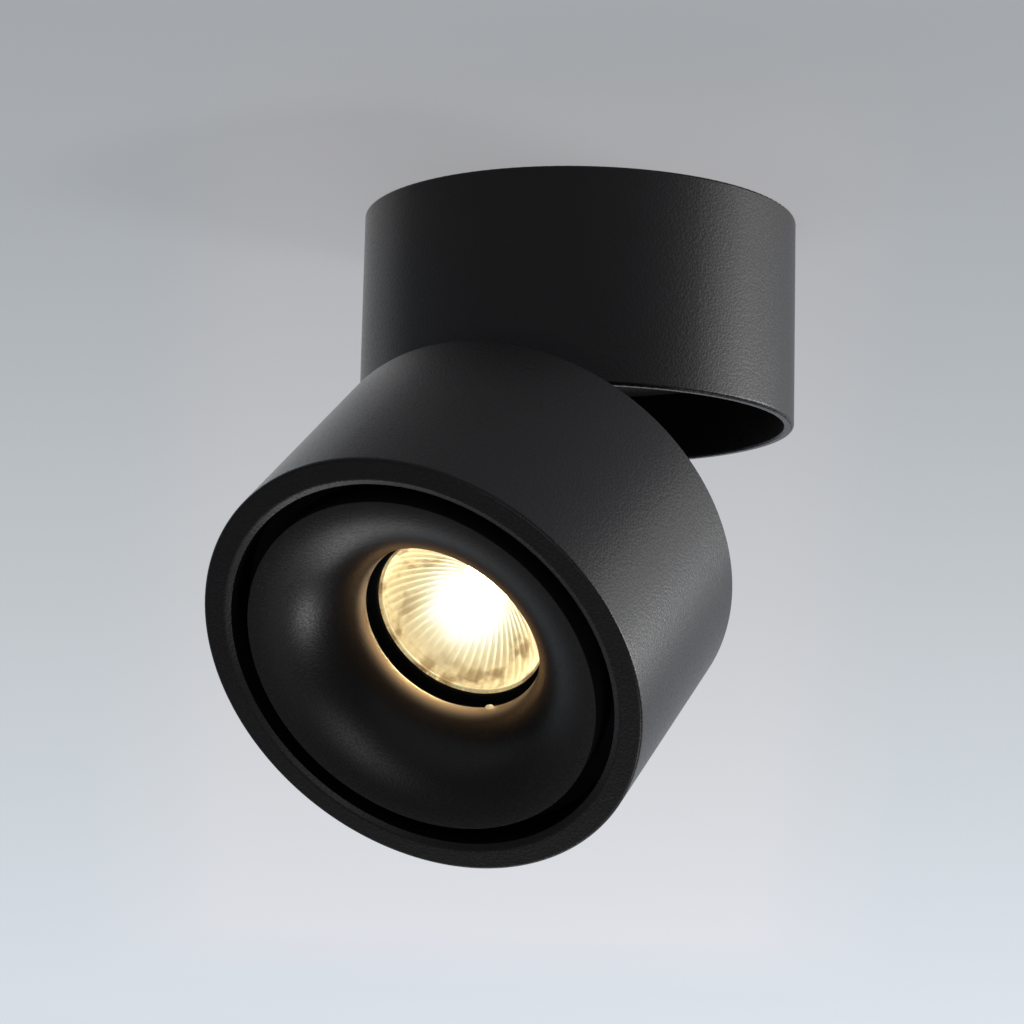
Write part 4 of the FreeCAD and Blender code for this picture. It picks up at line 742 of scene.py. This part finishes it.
def stage_finish():
    """Pale paint that partly glows, whose tone deepens overhead as painted shade, with a
    painted pool of warmer light in a band behind the lamp. It can't be seen from its back."""
    paint = Finish("ceiling_paint")
    spot = paint.node("ShaderNodeTexCoord", output="Object")
    x, y, z = (paint.node("ShaderNodeSeparateXYZ", {}, {0: spot}, axis) for axis in "XYZ")
    run = y * math.cos(YAW) - x * math.sin(YAW)
    down = 0 - z
    along = (run + 0.4) * 0.35 + down * 0.8
    # Painted shade: the tone deepens overhead.
    tone = paint.node("ShaderNodeValToRGB", {"stops": CEILING_TONES_WITH_PAINTED_FALLOFF}, {0: along})
    side = (x * math.cos(YAW) + y * math.sin(YAW)) / (run + 0.65)
    # Painted pool of warmer light in a band behind the lamp.
    painted_light_pool = 1 - (((side + LIGHT_POOL_SHIFT).size() - LIGHT_POOL_HALF) / LIGHT_POOL_FADE).held()
    painted_light_pool = painted_light_pool * ((along - LIGHT_POOL_ENDS[0]) / LIGHT_POOL_END_FADE).held()
    painted_light_pool = painted_light_pool * ((LIGHT_POOL_ENDS[1] - along) / LIGHT_POOL_END_FADE).held()
    tone = paint.node("ShaderNodeMix", {"data_type": "RGBA", "blend_type": "MULTIPLY"}, {
        "Factor": painted_light_pool, 6: tone, 7: LIGHT_POOL_TINT}, 2)
    shade = paint.node("ShaderNodeBsdfDiffuse", {}, {"Color": tone})
    glow = paint.node("ShaderNodeEmission", {}, {"Color": tone, "Strength": 1.0})
    both = paint.node("ShaderNodeMixShader", {}, {0: 0.7, 1: shade, 2: glow})
    clear = paint.node("ShaderNodeBsdfTransparent")
    back = paint.node("ShaderNodeNewGeometry", output="Backfacing")
    return paint.close(paint.node("ShaderNodeMixShader", {}, {0: back, 1: both, 2: clear}))


def make_stage():
    """The ceiling casts no shadow, so that the softboxes light the lamp through it."""
    ceiling = bpy.data.objects.new("ceiling", stage_mesh())
    ceiling.data.materials.append(stage_finish())
    bpy.context.scene.collection.objects.link(ceiling)
    ceiling.visible_shadow = False


make_stage()


def set_world():
    world = bpy.data.worlds.new("studio")
    world.use_nodes = True
    air = Tree(world.node_tree)
    world.node_tree.nodes.clear()
    path = air.node("ShaderNodeLightPath", output="Is Camera Ray")
    dim = air.node("ShaderNodeBackground", {}, {"Color": (0.95, 0.97, 1.0, 1.0), "Strength": 0.12})
    pale = air.node("ShaderNodeBackground", {}, {"Color": (0.60, 0.64, 0.67, 1.0), "Strength": 1.0})
    mixed = air.node("ShaderNodeMixShader", {}, {0: path, 1: dim, 2: pale})
    air.node("ShaderNodeOutputWorld", {}, {"Surface": mixed})
    bpy.context.scene.world = world


set_world()


AIM = Vector((0, -0.02, -0.07))


def softbox(name, turn, lift, distance, width, height, watts):
    """A softbox aimed at the lamp: turn is degrees to the camera's right, lift above it."""
    back = -Vector((forward.x, forward.y, 0)).normalized()
    turn = math.radians(turn)
    lift = math.radians(lift)
    flat = back * math.cos(turn) + level * math.sin(turn)
    way = flat * math.cos(lift) + Vector((0, 0, math.sin(lift)))
    data = bpy.data.lights.new(name, "AREA")
    data.shape = "RECTANGLE"
    data.size = width
    data.size_y = height
    data.energy = watts
    lamp = bpy.data.objects.new(name, data)
    lamp.matrix_world = (Matrix.Translation(AIM + way * distance)
                         @ way.to_track_quat("Z", "Y").to_matrix().to_4x4())
    lamp.visible_camera = False
    bpy.context.scene.collection.objects.link(lamp)


softbox("right_softbox", 95, 5, 0.9, 0.6, 0.4, 12.0)
softbox("side_softbox", 70, -72, 1.0, 0.25, 0.25, 2.5)
softbox("back_softbox", -150, 20, 0.9, 0.5, 0.5, 2.9)
softbox("front_softbox", -18, -30, 1.1, 0.55, 0.35, 1.4)
softbox("low_softbox", -157, -61, 0.9, 0.5, 0.25, 1.4)
softbox("under_softbox", -38, -70, 0.9, 0.35, 0.35, 0.15)


def lamp_glow():
    """The warm light that leaves the mouth and grazes the baffle's lip and throat."""
    data = bpy.data.lights.new("lamp_glow", "AREA")
    data.shape = "DISK"
    data.size = 36 * MM
    data.energy = 0.0018
    data.color = (1.0, 0.52, 0.20)
    lamp = bpy.data.objects.new("lamp_glow", data)
    bpy.context.scene.collection.objects.link(lamp)
    lamp.parent = frame["bodies"]["head"]
    lamp.matrix_world = HEAD @ Matrix.Translation((0, 0, (TUBE_FRONT + 1.0) * MM))
    lamp.visible_camera = False


lamp_glow()

bpy.context.scene.view_settings.view_transform = "Standard"
